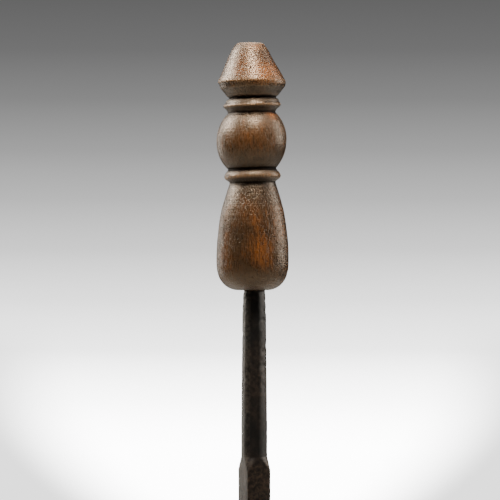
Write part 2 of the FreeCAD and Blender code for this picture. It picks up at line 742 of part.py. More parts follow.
# ---------------------------------------------------------------------------
# Brush
# ---------------------------------------------------------------------------
def make_brush_shank():
    """Square bar with a round tenon that enters the stock."""
    body = start_shank("brush_shank", "stock_top")
    circle = new_sketch(body, "brush_tenon_circle", "XY_Plane", "-stock_bottom + 9")
    draw_circle(circle, "0", "0", "brush_tenon_radius")
    pad(body, circle, "brush_tenon", "stock_bottom - 9 - stock_top")
    holes = new_sketch(body, "brush_shank_pin_hole", "XZ_Plane")
    draw_circle(holes, "0", "-brush_pin_drop", "brush_pin_radius")
    pocket(body, holes, "brush_shank_pin_bore", "shank_side * 2")
    place(body, TOOL_HEIGHT, "back")
    return body


def make_brush_stock():
    """Turned wooden stock that holds the bristles."""
    body = new_body("brush_stock")
    sketch = new_sketch(body, "stock_profile", "XZ_Plane")
    draw_outline(sketch, [
        ("stock_bore_radius", "-stock_top"),
        ("stock_bore_radius", "-stock_bore_bottom"),
        ("0", "-stock_bore_bottom"),
        ("0", "-stock_bottom"),
        ("stock_radius - 1", "-stock_bottom"),
        ("stock_radius", "-stock_bottom + 1"),
        ("stock_radius", "-stock_bottom + 7"),
        ("stock_radius - 1.6", "-stock_bottom + 8.5"),
        ("stock_radius", "-stock_bottom + 10", "stock_radius - 1", "-stock_top - 14"),
        ("stock_waist_radius * 0.78", "-stock_top - 4.5"),
        ("stock_neck_radius + 1", "-stock_top - 3.4",
         "stock_neck_radius + 1.9", "-stock_top - 1.8"),
        ("stock_neck_radius", "-stock_top"),
    ])
    revolve(body, sketch, "stock_turning")
    hole = new_sketch(body, "stock_pin_hole", "XZ_Plane")
    draw_circle(hole, "0", "-brush_pin_drop", "brush_pin_radius")
    pocket(body, hole, "stock_pin_bore", "stock_radius * 4")
    place(body, TOOL_HEIGHT, "back")
    return body


def make_brush_pin():
    """Iron pin across the stock and the tenon."""
    pin = doc.addObject("Part::Cylinder", "brush_pin_rod")
    pin.setExpression("Radius", linked("brush_pin_radius"))
    pin.setExpression("Height", linked("stock_waist_radius * 1.96"))
    pin.Placement = FreeCAD.Placement(Vector(0, 0, 0), FreeCAD.Rotation(Vector(1, 0, 0), 90))
    pin.setExpression("Placement.Base.y", linked("stock_waist_radius * 0.98"))
    pin.setExpression("Placement.Base.z", linked("-brush_pin_drop"))
    group = doc.addObject("Part::Compound", "brush_pin")
    group.Label = "brush_pin"
    group.Links = [pin]
    place(group, TOOL_HEIGHT, "back")
    return group


def make_brush_bristles():
    """Outer shape of the bristle bundle, flared and rounded at its end."""
    body = new_body("brush_bristles")
    sketch = new_sketch(body, "bristle_profile", "XZ_Plane")
    draw_outline(sketch, [
        ("0", "-stock_bottom"),
        ("bristle_root_radius", "-stock_bottom",
         "bristle_root_radius * 0.38 + bristle_tip_radius * 0.62",
         "-(stock_bottom * 0.5 + bristle_bottom * 0.5)"),
        ("bristle_tip_radius", "-bristle_bottom + 4"),
        ("bristle_tip_radius - 1.5", "-bristle_bottom"),
        ("0", "-bristle_bottom"),
    ])
    revolve(body, sketch, "bristle_bundle")
    place(body, TOOL_HEIGHT, "back")
    return body


# ---------------------------------------------------------------------------
# Tongs
# ---------------------------------------------------------------------------
def draw_arm(sketch, side):
    """Side view of an arm: from the eye, out in a bow and back to the grip disc."""
    inner_eye = "(eye_gap + 0.45) * %d" % side
    outer_eye = "(eye_gap + 0.45 + arm_thickness + 1) * %d" % side
    draw_outline(sketch, [
        (inner_eye, "-pivot_drop - eye_radius * 0.55"),
        ("%s" % outer_eye, "-pivot_drop - eye_radius * 0.55",
         "(arm_bow - 0.6) * %d" % side, "-arm_waist_drop + 38"),
        ("arm_bow * %d" % side, "-arm_waist_drop",
         "(arm_bow * 0.73) * %d" % side, "-arm_waist_drop - 44"),
        ("(grip_gap / 2 + grip_disc_thickness + 1.2) * %d" % side, "-arm_tip_drop + 6"),
        ("(grip_gap / 2 + grip_disc_thickness + 0.4) * %d" % side, "-arm_tip_drop - 5"),
        ("(grip_gap / 2 + grip_disc_thickness - 2) * %d" % side, "-arm_tip_drop - 5"),
        ("(grip_gap / 2 + grip_disc_thickness - 2) * %d" % side, "-arm_tip_drop + 9",
         "(arm_bow * 0.73 - arm_thickness * 0.9) * %d" % side, "-arm_waist_drop - 40"),
        ("(arm_bow - arm_thickness) * %d" % side, "-arm_waist_drop",
         "(arm_bow - 0.6 - arm_thickness) * %d" % side, "-arm_waist_drop + 36"),
    ])


def add_tongs_arm(body, label, side):
    """Bowed arm with a half-lapped eye and a grip disc.

    side is -1 for the fixed arm and 1 for the moving arm, in the tangent
    direction.  The fixed arm keeps the inner half of the lap.
    """
    eye = new_sketch(body, label + "_eye_circle", "YZ_Plane", "eye_gap" if side > 0 else "0 - eye_gap")
    draw_circle(eye, "0", "-pivot_drop", "eye_radius")
    pad(body, eye, label + "_eye", "arm_width / 2 - eye_gap", reverse=(side < 0))
    arm = new_sketch(body, label + "_side", "YZ_Plane")
    draw_arm(arm, side)
    pad(body, arm, label + "_bar", "arm_width", symmetric=True)
    disc = new_sketch(body, label + "_disc_circle", "XZ_Plane",
                      "(0 - grip_gap / 2) * %d" % side)
    draw_circle(disc, "0", "-arm_tip_drop", "grip_disc_radius")
    pad(body, disc, label + "_disc", "grip_disc_thickness", reverse=(side > 0))
    # The other arm's half of the lap is cut away round the pivot.
    lap = new_sketch(body, label + "_lap_circle", "YZ_Plane",
                     "(0 - arm_width / 2) * %d" % side)
    draw_circle(lap, "0", "-pivot_drop", "eye_radius + 0.5")
    pocket(body, lap, label + "_lap", "arm_width + eye_gap * 2")
    hole = new_sketch(body, label + "_hole_circle", "YZ_Plane")
    radius = "pivot_hole_radius" if side > 0 else "pivot_radius"
    draw_circle(hole, "0", "-pivot_drop", radius)
    pocket(body, hole, label + "_bore", "arm_width * 3")


def make_tongs_shank():
    """Shank that carries the fixed arm."""
    body = start_shank("tongs_shank", "pivot_drop - eye_radius * 0.4")
    add_tongs_arm(body, "tongs_fixed", -1)
    place(body, TOOL_HEIGHT, "left")
    return body


def make_tongs_moving_arm():
    """Arm that swings out about the pivot rivet."""
    body = new_body("tongs_moving_arm")
    add_tongs_arm(body, "tongs_moving", 1)
    place(body, TOOL_HEIGHT, "left")
    return body


def make_tongs_rivet():
    """Pivot rivet through both eyes, with a washer under each head."""
    reach = "arm_width / 2 + eye_gap + pivot_washer_thickness"
    item = rivet("tongs_pivot_body", "pivot_radius", "pivot_head_radius", "pivot_head_height",
                 "-(%s)" % reach, reach)
    item.Placement = FreeCAD.Placement(Vector(0, 0, 0), FreeCAD.Rotation(Vector(0, 1, 0), 90))
    item.setExpression("Placement.Base.z", linked("-pivot_drop"))
    group = doc.addObject("Part::Compound", "tongs_pivot_rivet")
    group.Label = "tongs_pivot_rivet"
    group.Links = [item]
    place(group, TOOL_HEIGHT, "left")
    return group


def make_tongs_washers():
    """The two washers of the pivot rivet."""
    pieces = []
    for name, lift in (
        ("outer", "arm_width / 2 + eye_gap"),
        ("inner", "-arm_width / 2 - eye_gap - pivot_washer_thickness"),
    ):
        ring = washer("tongs_washer_" + name, "pivot_washer_radius", "pivot_radius",
                      "pivot_washer_thickness", lift)
        ring.Placement = FreeCAD.Placement(Vector(0, 0, 0), FreeCAD.Rotation(Vector(0, 1, 0), 90))
        ring.setExpression("Placement.Base.z", linked("-pivot_drop"))
        pieces.append(ring)
    group = doc.addObject("Part::Compound", "tongs_pivot_washers")
    group.Label = "tongs_pivot_washers"
    group.Links = pieces
    place(group, TOOL_HEIGHT, "left")
    return group


# ---------------------------------------------------------------------------
# Assembly
# ---------------------------------------------------------------------------
nodes = [make_base()]
for foot_name, foot_across, foot_along in (
    ("base_foot_back_right", 1, 1), ("base_foot_back_left", -1, 1),
    ("base_foot_front_left", -1, -1), ("base_foot_front_right", 1, -1),
):
    nodes.append(make_foot(foot_name, foot_across, foot_along))
nodes.append(make_post())
nodes.append(make_handle("post_handle", "post_handle_height"))
nodes.append(make_peen_washer("post_washer", "post_handle_height"))
base_washer = washer("base_washer", "base_washer_radius", "tenon_hole_radius",
                     "base_washer_thickness", "0")
place(base_washer, "nut_pocket_height - base_washer_thickness")
nodes.append(base_washer)
nodes.append(make_base_nut())
for hanger_name in HANGERS:
    nodes.append(make_hook_arm(hanger_name))
nodes.append(make_rack_rivets())
for tool_name, hanger_name in (
    ("poker", "front"), ("shovel", "right"), ("brush", "back"), ("tongs", "left"),
):
    nodes.append(make_handle(tool_name + "_handle", TOOL_HEIGHT, hanger_name))
    nodes.append(make_peen_washer(tool_name + "_washer", TOOL_HEIGHT, hanger_name))
nodes.append(make_poker_shank())
nodes.append(make_shovel_shank())
nodes.append(make_shovel_pan())
nodes.append(make_shovel_rivets())
nodes.append(make_brush_shank())
nodes.append(make_brush_stock())
nodes.append(make_brush_pin())
nodes.append(make_brush_bristles())
nodes.append(make_tongs_shank())
nodes.append(make_tongs_moving_arm())
nodes.append(make_tongs_rivet())
nodes.append(make_tongs_washers())
doc.recompute()

for item in doc.Objects:
    if "Invalid" in item.State or "Error" in item.State:
        raise RuntimeError("%s failed: %s" % (item.Name, item.State))
for node in nodes:
    if node.Shape.isNull() or not node.Shape.isValid():
        raise RuntimeError("%s has no valid shape" % node.Label)

os.makedirs("parts", exist_ok=True)
for node in nodes:
    node.Shape.exportStep("parts/%s.step" % node.Label)
    box = node.Shape.BoundBox
    print("%-22s %2d solids %9.1f mm3  x %.1f..%.1f  y %.1f..%.1f  z %.1f..%.1f" % (
        node.Label, len(node.Shape.Solids), node.Shape.Volume,
        box.XMin, box.XMax, box.YMin, box.YMax, box.ZMin, box.ZMax))
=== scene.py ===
"""Looks of a fireplace tool set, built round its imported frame.

The set is a stand with a turned carrying handle, and a poker, a shovel, a
brush and tongs with matching handles.  Pieces are shaped in millimetres about
their own tool's axis, with the handle's foot at zero height, and are turned
to metres in the row's frame when they are finished.
"""

import logging
import math
import random
from dataclasses import dataclass, field
from enum import Enum
from functools import partial
from typing import Callable, Optional, Sequence

import bmesh
import bpy
from mathutils import Matrix, Vector, noise


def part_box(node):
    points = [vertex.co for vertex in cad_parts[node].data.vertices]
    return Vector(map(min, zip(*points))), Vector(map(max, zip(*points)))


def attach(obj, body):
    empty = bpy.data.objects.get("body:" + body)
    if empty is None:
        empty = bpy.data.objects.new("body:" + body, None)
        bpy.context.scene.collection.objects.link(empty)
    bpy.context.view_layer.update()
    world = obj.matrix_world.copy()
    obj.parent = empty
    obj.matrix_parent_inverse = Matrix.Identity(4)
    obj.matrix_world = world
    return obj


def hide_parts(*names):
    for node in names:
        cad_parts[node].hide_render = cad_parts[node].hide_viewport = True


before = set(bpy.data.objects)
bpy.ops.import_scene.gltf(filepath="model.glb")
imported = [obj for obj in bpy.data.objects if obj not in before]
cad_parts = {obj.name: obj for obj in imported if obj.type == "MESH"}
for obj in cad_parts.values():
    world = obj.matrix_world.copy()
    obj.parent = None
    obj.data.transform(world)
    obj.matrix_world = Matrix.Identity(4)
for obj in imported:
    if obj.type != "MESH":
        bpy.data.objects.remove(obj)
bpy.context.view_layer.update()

LOG = logging.getLogger("fireplace_tool_set")
METRE = 0.001
VIEW_AZIMUTH = -24.0

Outline = Sequence[tuple[float, float]]
OUT, ACROSS, UP = Vector((1, 0, 0)), Vector((0, 1, 0)), Vector((0, 0, 1))


# ---------------------------------------------------------------------------
# Small helpers
# ---------------------------------------------------------------------------
def linear(code: str) -> tuple[float, float, float, float]:
    """Turn an sRGB hex colour to a linear one.

    Args:
        code: Six hex digits, with or without a leading #.

    Returns:
        Red, green, blue and a full alpha.
    """
    digits = code.lstrip("#")
    shares = [int(digits[place:place + 2], 16) / 255 for place in (0, 2, 4)]
    parts = [
        share / 12.92 if share <= 0.04045 else ((share + 0.055) / 1.055) ** 2.4
        for share in shares
    ]
    return (parts[0], parts[1], parts[2], 1.0)


def add_node(tree: bpy.types.NodeTree, kind: str, settings: Optional[dict] = None,
             links: Optional[dict] = None) -> bpy.types.Node:
    """Add a shader node with its settings and links.

    Args:
        tree: The material's node tree.
        kind: The node's type without its ShaderNode prefix.
        settings: Attributes, input values by name or index, or colour stops.
        links: What each input, by name or index, is joined to: a socket, or a node
            for the first of its outputs in use.

    Returns:
        The new node.
    """
    node = tree.nodes.new("ShaderNode" + kind)
    # Numbered inputs come last, because a node's attributes decide which of them it has.
    for key, value in sorted((settings or {}).items(), key=lambda item: isinstance(item[0], int)):
        if key == "stops":
            elements = node.color_ramp.elements
            while len(elements) < len(value):
                elements.new(0.5)
            for element, (position, colour) in zip(elements, value):
                element.position = position
                element.color = colour
        elif isinstance(key, str) and hasattr(node, key):
            setattr(node, key, value)
        else:
            node.inputs[key].default_value = value
    for key, source in (links or {}).items():
        if isinstance(source, bpy.types.Node):
            source = next(socket for socket in source.outputs if socket.enabled)
        tree.links.new(source, node.inputs[key])
    return node


def new_material(name: str) -> tuple[bpy.types.Material, bpy.types.NodeTree]:
    """Begin a material with an empty tree."""
    material = bpy.data.materials.new(name)
    material.use_nodes = True
    material.node_tree.nodes.clear()
    return material, material.node_tree


def box_mm(node: str) -> tuple[Vector, Vector]:
    """Give a CAD node's lowest and highest corners in millimetres."""
    low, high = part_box(node)
    return low / METRE, high / METRE


def drop_below(handle: str, node: str, top: bool = False) -> float:
    """Give how far a node's foot, or its top, is below a handle's foot, in millimetres."""
    low, high = box_mm(node)
    return box_mm(handle)[0].z - (high.z if top else low.z)


def heading(degrees: float) -> Vector:
    """Give the level direction at an angle from +X towards +Y."""
    return Vector((math.cos(math.radians(degrees)), math.sin(math.radians(degrees)), 0))


def facing(place: Vector, way: Vector) -> Matrix:
    """Give the matrix that puts zero at a place and turns Z towards a way."""
    return Matrix.Translation(place) @ way.to_track_quat("Z", "Y").to_matrix().to_4x4()


def smooth_through(points: Outline, step: float) -> list[tuple[float, float]]:
    """Run a smooth curve through points.

    Args:
        points: The points, each (radius, height).
        step: The distance between points of the result.

    Returns:
        Points along a Catmull-Rom curve, both ends included.
    """
    padded = [points[0], *points, points[-1]]
    result = [tuple(points[0])]
    for before, start, end, after in zip(padded, padded[1:], padded[2:], padded[3:]):
        count = max(1, round(math.dist(start, end) / step))
        for index in range(1, count + 1):
            share = index / count
            result.append(tuple(
                0.5 * (2 * b + (c - a) * share + (2 * a - 5 * b + 4 * c - d) * share ** 2
                       + (3 * b - a - 3 * c + d) * share ** 3)
                for a, b, c, d in zip(before, start, end, after)
            ))
    return result


def straight_to(start: tuple[float, float], end: tuple[float, float],
                step: float) -> list[tuple[float, float]]:
    """Divide a straight stretch of an outline, both ends included."""
    count = max(1, round(math.dist(start, end) / step))
    return [
        (start[0] + (end[0] - start[0]) * index / count,
         start[1] + (end[1] - start[1]) * index / count)
        for index in range(count + 1)
    ]


def join_stretches(*stretches: Outline) -> list[tuple[float, float]]:
    """Join stretches of an outline, leaving out the points that repeat."""
    result: list[tuple[float, float]] = []
    for stretch in stretches:
        for point in stretch:
            if not result or math.dist(point, result[-1]) > 1e-4:
                result.append(tuple(point))
    return result


def ease(value: float, low: float, high: float) -> float:
    """Rise smoothly from 0 at low to 1 at high."""
    share = min(max((value - low) / (high - low), 0.0), 1.0)
    return share * share * (3 - 2 * share)


# ---------------------------------------------------------------------------
# Finishes
# ---------------------------------------------------------------------------
class Mix(Enum):
    """Colour inputs of a mix node."""

    A = 6
    B = 7


@dataclass(frozen=True)
class Finish:
    """Common start of every finish.

    Attributes:
        name: What the material is and how its surface was made.
        slot: The record's material slot; not used.
    """

    name: str
    slot: str

    def start(self) -> tuple[bpy.types.Material, bpy.types.NodeTree, bpy.types.NodeSocket]:
        """Begin the material.

        Returns:
            The material, its tree, and object coordinates in millimetres.
        """
        material, tree = new_material(self.name)
        place = add_node(tree, "TexCoord").outputs["Object"]
        scaled = add_node(tree, "Mapping", {"Scale": (1 / METRE,) * 3}, {"Vector": place})
        return material, tree, scaled.outputs["Vector"]

    def close(self, tree: bpy.types.NodeTree, settings: dict, links: dict,
              height: bpy.types.Node, relief_mm: float,
              strength: Optional[bpy.types.Node] = None) -> None:
        """End the material with its shader.

        Args:
            tree: The material's node tree.
            settings: Uniform values of the shader's own sockets.
            links: What the shader's inputs are joined to.
            height: The surface's height, 0 to 1.
            relief_mm: How far a height of 1 stands out.
            strength: How much of the relief is left, where it is not the same all over.
        """
        bump = add_node(tree, "Bump", {"Strength": 1.0, "Distance": relief_mm * METRE},
                        {"Height": height, **({"Strength": strength} if strength else {})})
        shader = add_node(tree, "BsdfPrincipled", settings, {**links, "Normal": bump})
        add_node(tree, "OutputMaterial", {}, {"Surface": shader})


@dataclass(frozen=True)
class TurnedWood(Finish):
    """Open-grained hardwood, turned, stained dark and waxed for a lifetime.

    The pores hold black wax and soot, hands have rubbed the high places back
    to orange brown, and the lathe's fine rings still show in a raking light.
    The same black darkens the necks and hollows, as soot and painted shade
    together, and the undersides as painted shade.

    Attributes:
        streak_width: Width of a light or dark streak of the grain.
        pore_width: Width of a pore, a little coarser than a real one so that it shows.
        lathe_spacing: Distance between the rings that the chisel left.
        relief_mm: Depth of the pores and rings.
        deep, body, warm: The stain's tones, from dark to light.
        rubbed: Orange brown where hands have worn the stain.
        pale: Bare wood on worn edges.
        soot: Black wax and soot, and the same black laid on as painted shade.
    """

    streak_width: float = 1.2
    pore_width: float = 0.55
    lathe_spacing: float = 0.9
    relief_mm: float = 0.14
    deep: str = "#0c0602"
    body: str = "#180e06"
    warm: str = "#281609"
    rubbed: str = "#6e3c13"
    pale: str = "#8a6a4c"
    # Black of the pores, also laid on as painted shade in the necks and on the undersides.
    soot: str = "#080503"

    def stretched(self, tree: bpy.types.NodeTree, place: bpy.types.NodeSocket, width: float,
                  length: float, detail: float, roughness: float) -> bpy.types.Node:
        """Add noise drawn out along the grain.

        Args:
            tree: The material's node tree.
            place: Coordinates in millimetres.
            width: Size of the noise across the grain.
            length: Size of the noise along the grain.
            detail: How many finer layers it has.
            roughness: How strong the finer layers are.

        Returns:
            The noise.
        """
        drawn = add_node(tree, "Mapping", {"Scale": (1 / width, 1 / width, 1 / length)},
                         {"Vector": place})
        return add_node(tree, "TexNoise", {"Scale": 1.0, "Detail": detail, "Roughness": roughness},
                        {"Vector": drawn})

    def material(self) -> bpy.types.Material:
        """Build the wood."""
        material, tree, place = self.start()
        node = partial(add_node, tree)
        drawn = partial(self.stretched, tree, place)
        streak = drawn(self.streak_width, 26.0, 4.0, 0.6)
        fine = drawn(0.6, 7.0, 3.0, 0.6)
        pore_noise = drawn(self.pore_width, 2.8, 1.5, 0.5)
        mottle = drawn(5.5, 9.0, 4.0, 0.65)
        fleck = drawn(0.6, 2.0, 3.0, 0.7)
        lathe = drawn(60.0, self.lathe_spacing, 2.0, 0.75)
        relief = node("Attribute", {"attribute_name": "relief"}).outputs["Fac"]
        # rub: above nothing where hands have rubbed; below nothing at the dark spots, which are
        # dirt and painted shadow, and on faces that face down, which is painted shade.
        spots = node("Attribute", {"attribute_name": "rub"}).outputs["Fac"]
        # Stain: dark to warm along the grain.
        grain = node("Math", {"operation": "MULTIPLY_ADD", 1: 0.55}, {0: fine, 2: streak})
        ringed = node("Math", {"operation": "MULTIPLY_ADD", 1: 0.18}, {0: lathe, 2: grain})
        clouded = node("Math", {"operation": "MULTIPLY_ADD", 1: 0.55}, {0: mottle, 2: ringed})
        spread = node("MapRange", {"From Min": 0.78, "From Max": 1.46}, {"Value": clouded})
        tone = node("ValToRGB", {"stops": [
            (0.30, linear(self.deep)), (0.52, linear(self.body)), (0.76, linear(self.warm)),
        ]}, {"Fac": spread})
        # Wear: orange brown where rubbed, pale on the edges.
        patch = node("MapRange", {"From Min": 0.52, "From Max": 0.74, "To Max": 0.40},
                     {"Value": mottle})
        rub = node("Math", {"operation": "ADD"}, {0: patch, 1: spots})
        broken = node("MapRange", {"From Min": 0.30, "From Max": 0.72}, {"Value": fine})
        rub_broken = node("Math", {"operation": "MULTIPLY", "use_clamp": True},
                          {0: rub, 1: broken})
        warm = node("Mix", {"data_type": "RGBA", Mix.B.value: linear(self.rubbed)},
                    {0: rub_broken, Mix.A.value: tone})
        high = node("MapRange", {"From Min": 0.54, "From Max": 0.80}, {"Value": relief})
        edge = node("Math", {"operation": "MULTIPLY", 1: 0.6}, {0: high})
        worn = node("Mix", {"data_type": "RGBA", Mix.B.value: linear(self.pale)},
                    {0: edge, Mix.A.value: warm})
        # Pores: black wax and soot. Necks and hollows: soot, darkened further as painted shade,
        # with less reflection.
        # Undersides: painted shade. Dark spots: dirt and painted shadow.
        pores = node("MapRange", {"From Min": 0.56, "From Max": 0.63}, {"Value": pore_noise})
        specks = node("MapRange", {"From Min": 0.60, "From Max": 0.68}, {"Value": fleck})
        hole = node("Math", {"operation": "MAXIMUM"}, {0: pores, 1: specks})
        hole_share = node("Math", {"operation": "MULTIPLY", 1: 0.55}, {0: hole})
        porous = node("Mix", {"data_type": "RGBA", Mix.B.value: linear(self.soot)},
                      {0: hole_share, Mix.A.value: worn})
        # Concave places: soot there, darkened further as painted shade.
        low = node("MapRange", {"From Min": 0.47, "From Max": 0.30}, {"Value": relief})
        # Below-nothing rub: dirt and painted shadow at the dark spots, painted shade on the
        # undersides.
        spot_dirt_and_shade = node("MapRange", {"From Max": -1.0}, {"Value": spots})
        dirt_and_shade_mask = node("Math", {"operation": "MAXIMUM"}, {0: low, 1: spot_dirt_and_shade})
        shade_and_dirt_share = node("Math", {"operation": "MULTIPLY", 1: 0.92}, {0: dirt_and_shade_mask})
        # The soot black laid on here is soot and painted shade together.
        sooted_and_shaded = node("Mix", {"data_type": "RGBA", Mix.B.value: linear(self.soot)},
                     {0: shade_and_dirt_share, Mix.A.value: porous})
        gloss = node("MapRange", {"From Min": 0.3, "From Max": 0.7, "To Min": 0.21,
                                  "To Max": 0.36}, {"Value": fleck})
        matt = node("Math", {"operation": "MULTIPLY_ADD", 1: 0.35}, {0: dirt_and_shade_mask, 2: gloss})
        # Less reflection in the concave places, which darkens them as painted shade.
        shine = node("MapRange", {"To Min": 0.5, "To Max": 0.06}, {"Value": low})
        turned = node("Math", {"operation": "MULTIPLY_ADD", 1: 0.8}, {0: lathe, 2: fine})
        rough = node("Math", {"operation": "MULTIPLY_ADD", 1: 0.5}, {0: fleck, 2: turned})
        height = node("Math", {"operation": "MULTIPLY_ADD", 1: -0.6}, {0: hole, 2: rough})
        self.close(tree, {"IOR": 1.45, "Specular Tint": (1.0, 0.76, 0.54, 1.0)},
                   {"Base Color": sooted_and_shaded, "Roughness": matt, "Specular IOR Level": shine},
                   height, self.relief_mm)
        return material


@dataclass(frozen=True)
class Iron(Finish):
    """Iron with a blackened, oiled skin.

    The oxide is dark and a little brown, low places hold rust and soot, and
    handling has polished the arrises to grey.

    Attributes:
        grit: Size of the skin's grain.
        relief_mm: Depth of that grain.
        streak: How far the grain is drawn out along the piece, 1 for none.
        metal: How much of the skin reflects as bare metal.
        roughness: Middle roughness of the skin.
        wear: How far handling has bared the arrises.
        skin, brown: The oxide's two tones.
        bare: The metal on the arrises.
        rust: Rust in the low places.
    """

    grit: float = 0.9
    relief_mm: float = 0.12
    streak: float = 1.0
    metal: float = 0.6
    roughness: float = 0.42
    wear: float = 0.35
    skin: str = "#0a0807"
    brown: str = "#120d0a"
    bare: str = "#6d675f"
    rust: str = "#3a2e24"

    def material(self) -> bpy.types.Material:
        """Build the iron."""
        material, tree, place = self.start()
        node = partial(add_node, tree)
        drawn = node("Mapping", {"Scale": (1.0, 1.0, 1 / self.streak)}, {"Vector": place})
        cloud = node("TexNoise", {"Scale": 0.075, "Detail": 4.0, "Roughness": 0.6},
                     {"Vector": drawn})
        grain = node("TexNoise", {"Scale": 1 / self.grit, "Detail": 4.0, "Roughness": 0.65},
                     {"Vector": drawn})
        scale = node("TexVoronoi", {"feature": "SMOOTH_F1", "Scale": 0.42 / self.grit,
                                    "Smoothness": 0.6}, {"Vector": drawn})
        relief = node("Attribute", {"attribute_name": "relief"}).outputs["Fac"]
        fire_scale = node("Attribute", {"attribute_name": "fire_scale"}).outputs["Fac"]
        brown_share = node("MapRange", {"From Min": 0.42, "From Max": 0.62}, {"Value": cloud})
        tone = node("Mix", {"data_type": "RGBA", Mix.A.value: linear(self.skin),
                            Mix.B.value: linear(self.brown)}, {0: brown_share})
        # Rust: in spots, more of it under the fire scale and in the low places.
        rust_spots = node("MapRange", {"From Min": 0.40, "From Max": 0.72, "To Max": 0.7},
                          {"Value": grain})
        rust_share = node("Math", {"operation": "MULTIPLY"}, {0: rust_spots, 1: brown_share})
        crust = node("Math", {"operation": "MULTIPLY"}, {0: fire_scale, 1: rust_spots})
        spread = node("Math", {"operation": "MULTIPLY_ADD", 1: 0.6}, {0: rust_share, 2: crust})
        low = node("MapRange", {"From Min": 0.48, "From Max": 0.25, "To Max": 0.6},
                   {"Value": relief})
        rust_all = node("Math", {"operation": "ADD", "use_clamp": True}, {0: spread, 1: low})
        rusty = node("Mix", {"data_type": "RGBA", Mix.B.value: linear(self.rust)},
                     {0: rust_all, Mix.A.value: tone})
        # Wear: bare metal, broken up, on the arrises.
        high = node("MapRange", {"From Min": 0.54, "From Max": 0.80, "To Max": self.wear},
                    {"Value": relief})
        rub_break = node("MapRange", {"From Min": 0.35, "From Max": 0.60}, {"Value": grain})
        rub = node("Math", {"operation": "MULTIPLY"}, {0: high, 1: rub_break})
        worn = node("Mix", {"data_type": "RGBA", Mix.B.value: linear(self.bare)},
                    {0: rub, Mix.A.value: rusty})
        matt = node("MapRange", {"To Min": self.roughness - 0.10,
                                 "To Max": self.roughness + 0.16}, {"Value": grain})
        height = node("Math", {"operation": "MULTIPLY_ADD", 1: 0.8}, {0: scale, 2: grain})
        smoothed = node("MapRange", {"From Min": 0.52, "From Max": 0.60, "To Min": 1.0,
                                     "To Max": 0.15}, {"Value": relief})
        self.close(tree, {"Metallic": self.metal}, {"Base Color": worn, "Roughness": matt},
                   height, self.relief_mm, smoothed)
        return material


@dataclass(frozen=True)
class BristleFibre(Finish):
    """Stiff plant fibre and horsehair, dark at the root and straw at the tip.

    Attributes:
        root, dark, straw: A strand's tones, from the darkest to the lightest.
    """

    root: str = "#120c08"
    dark: str = "#2b1c12"
    straw: str = "#7b5a35"

    def material(self) -> bpy.types.Material:
        """Build the bristle, with each strand's own tone from its attribute."""
        material, tree, place = self.start()
        node = partial(add_node, tree)
        tone = node("Attribute", {"attribute_name": "tone"}).outputs["Fac"]
        along = node("Mapping", {"Scale": (1.6, 1.6, 0.12)}, {"Vector": place})
        fleck = node("TexNoise", {"Scale": 1.0, "Detail": 3.0}, {"Vector": along})
        blend = node("Math", {"operation": "MULTIPLY_ADD", 1: 0.3}, {0: fleck, 2: tone})
        colour = node("ValToRGB", {"stops": [
            (0.12, linear(self.root)), (0.45, linear(self.dark)), (1.0, linear(self.straw)),
        ]}, {"Fac": blend})
        self.close(tree, {"Roughness": 0.55, "Sheen Weight": 0.15}, {"Base Color": colour},
                   fleck, 0.05)
        return material


WOOD = TurnedWood("waxed_turned_hardwood", "turned_wood")
FORGED = Iron("blackened_forged_iron", "forged_iron", grit=1.5)
CAST = Iron("blacked_sand_cast_iron", "cast_iron", grit=0.55, relief_mm=0.16, metal=0.5,
            roughness=0.5, skin="#191716", brown="#221d19", rust="#2f211a")
SHEET = Iron("blackened_rolled_sheet_iron", "sheet_iron", grit=0.8, relief_mm=0.06, streak=1.8,
             metal=0.7, roughness=0.40, skin="#161413", brown="#1e1916", bare="#6a635a",
             rust="#33291f")
RIVET = Iron("hammered_rivet_iron", "rivet_iron", grit=0.6, relief_mm=0.05, metal=0.7,
             roughness=0.40, skin="#211c18", brown="#30261e", bare="#8a8177")
BRISTLE = BristleFibre("plant_fibre_bristle", "bristle")
FINISHES = (WOOD, FORGED, CAST, SHEET, RIVET, BRISTLE)
MATERIALS: dict[str, bpy.types.Material] = {}


# ---------------------------------------------------------------------------
# Shaping
# ---------------------------------------------------------------------------
@dataclass
class Ring:
    """One cross-section of a bar.

    Attributes:
        centre: Middle of the section.
        half: Half widths along the section's own two directions.
        cut: How much of each corner is cut off, one length for all or two for each corner.
        along: Direction of the bar, to which the section is square.
        side: First direction of the section.
        soft: How far the arrises are rounded; 0 leaves eight bare corners.
    """

    centre: Vector
    half: tuple[float, float]
    cut: float | Sequence[tuple[float, float]]
    along: Vector = field(default_factory=UP.copy)
    side: Vector = field(default_factory=OUT.copy)
    soft: float = 0.0

    def rounded(self, flat: list[tuple[float, float]]) -> list[tuple[float, float]]:
        """Round a section's corners and divide the flats between them."""
        result = []
        for before, corner, after in zip(flat[-1:] + flat[:-1], flat, flat[1:] + flat[:1]):
            ends = []
            for other in (before, after):
                reach = min(self.soft / max(math.dist(corner, other), 1e-6), 0.46)
                ends.append(tuple(c + (o - c) * reach for c, o in zip(corner, other)))
            middle = tuple(0.25 * a + 0.5 * c + 0.25 * b
                           for a, c, b in zip(ends[0], corner, ends[1]))
            reach = min(self.soft / max(math.dist(corner, after), 1e-6), 0.46)
            flats = [tuple(c + (a - c) * (reach + (1 - 2 * reach) * share)
                           for c, a in zip(corner, after)) for share in (0.25, 0.5, 0.75)]
            result += [ends[0], middle, ends[1], *flats]
        return result

    def corners(self) -> list[Vector]:
        """Give the section's points in order: eight corners, or more if they are rounded."""
        other = self.along.cross(self.side)
        wide, deep = self.half
        cuts = [(self.cut, self.cut)] * 4 if isinstance(self.cut, float) else self.cut
        flat = [
            (wide, deep - cuts[0][1]), (wide - cuts[0][0], deep),
            (cuts[1][0] - wide, deep), (-wide, deep - cuts[1][1]),
            (-wide, cuts[2][1] - deep), (cuts[2][0] - wide, -deep),
            (wide - cuts[3][0], -deep), (wide, cuts[3][1] - deep),
        ]
        if self.soft:
            flat = self.rounded(flat)
        return [self.centre + self.side * across + other * up for across, up in flat]


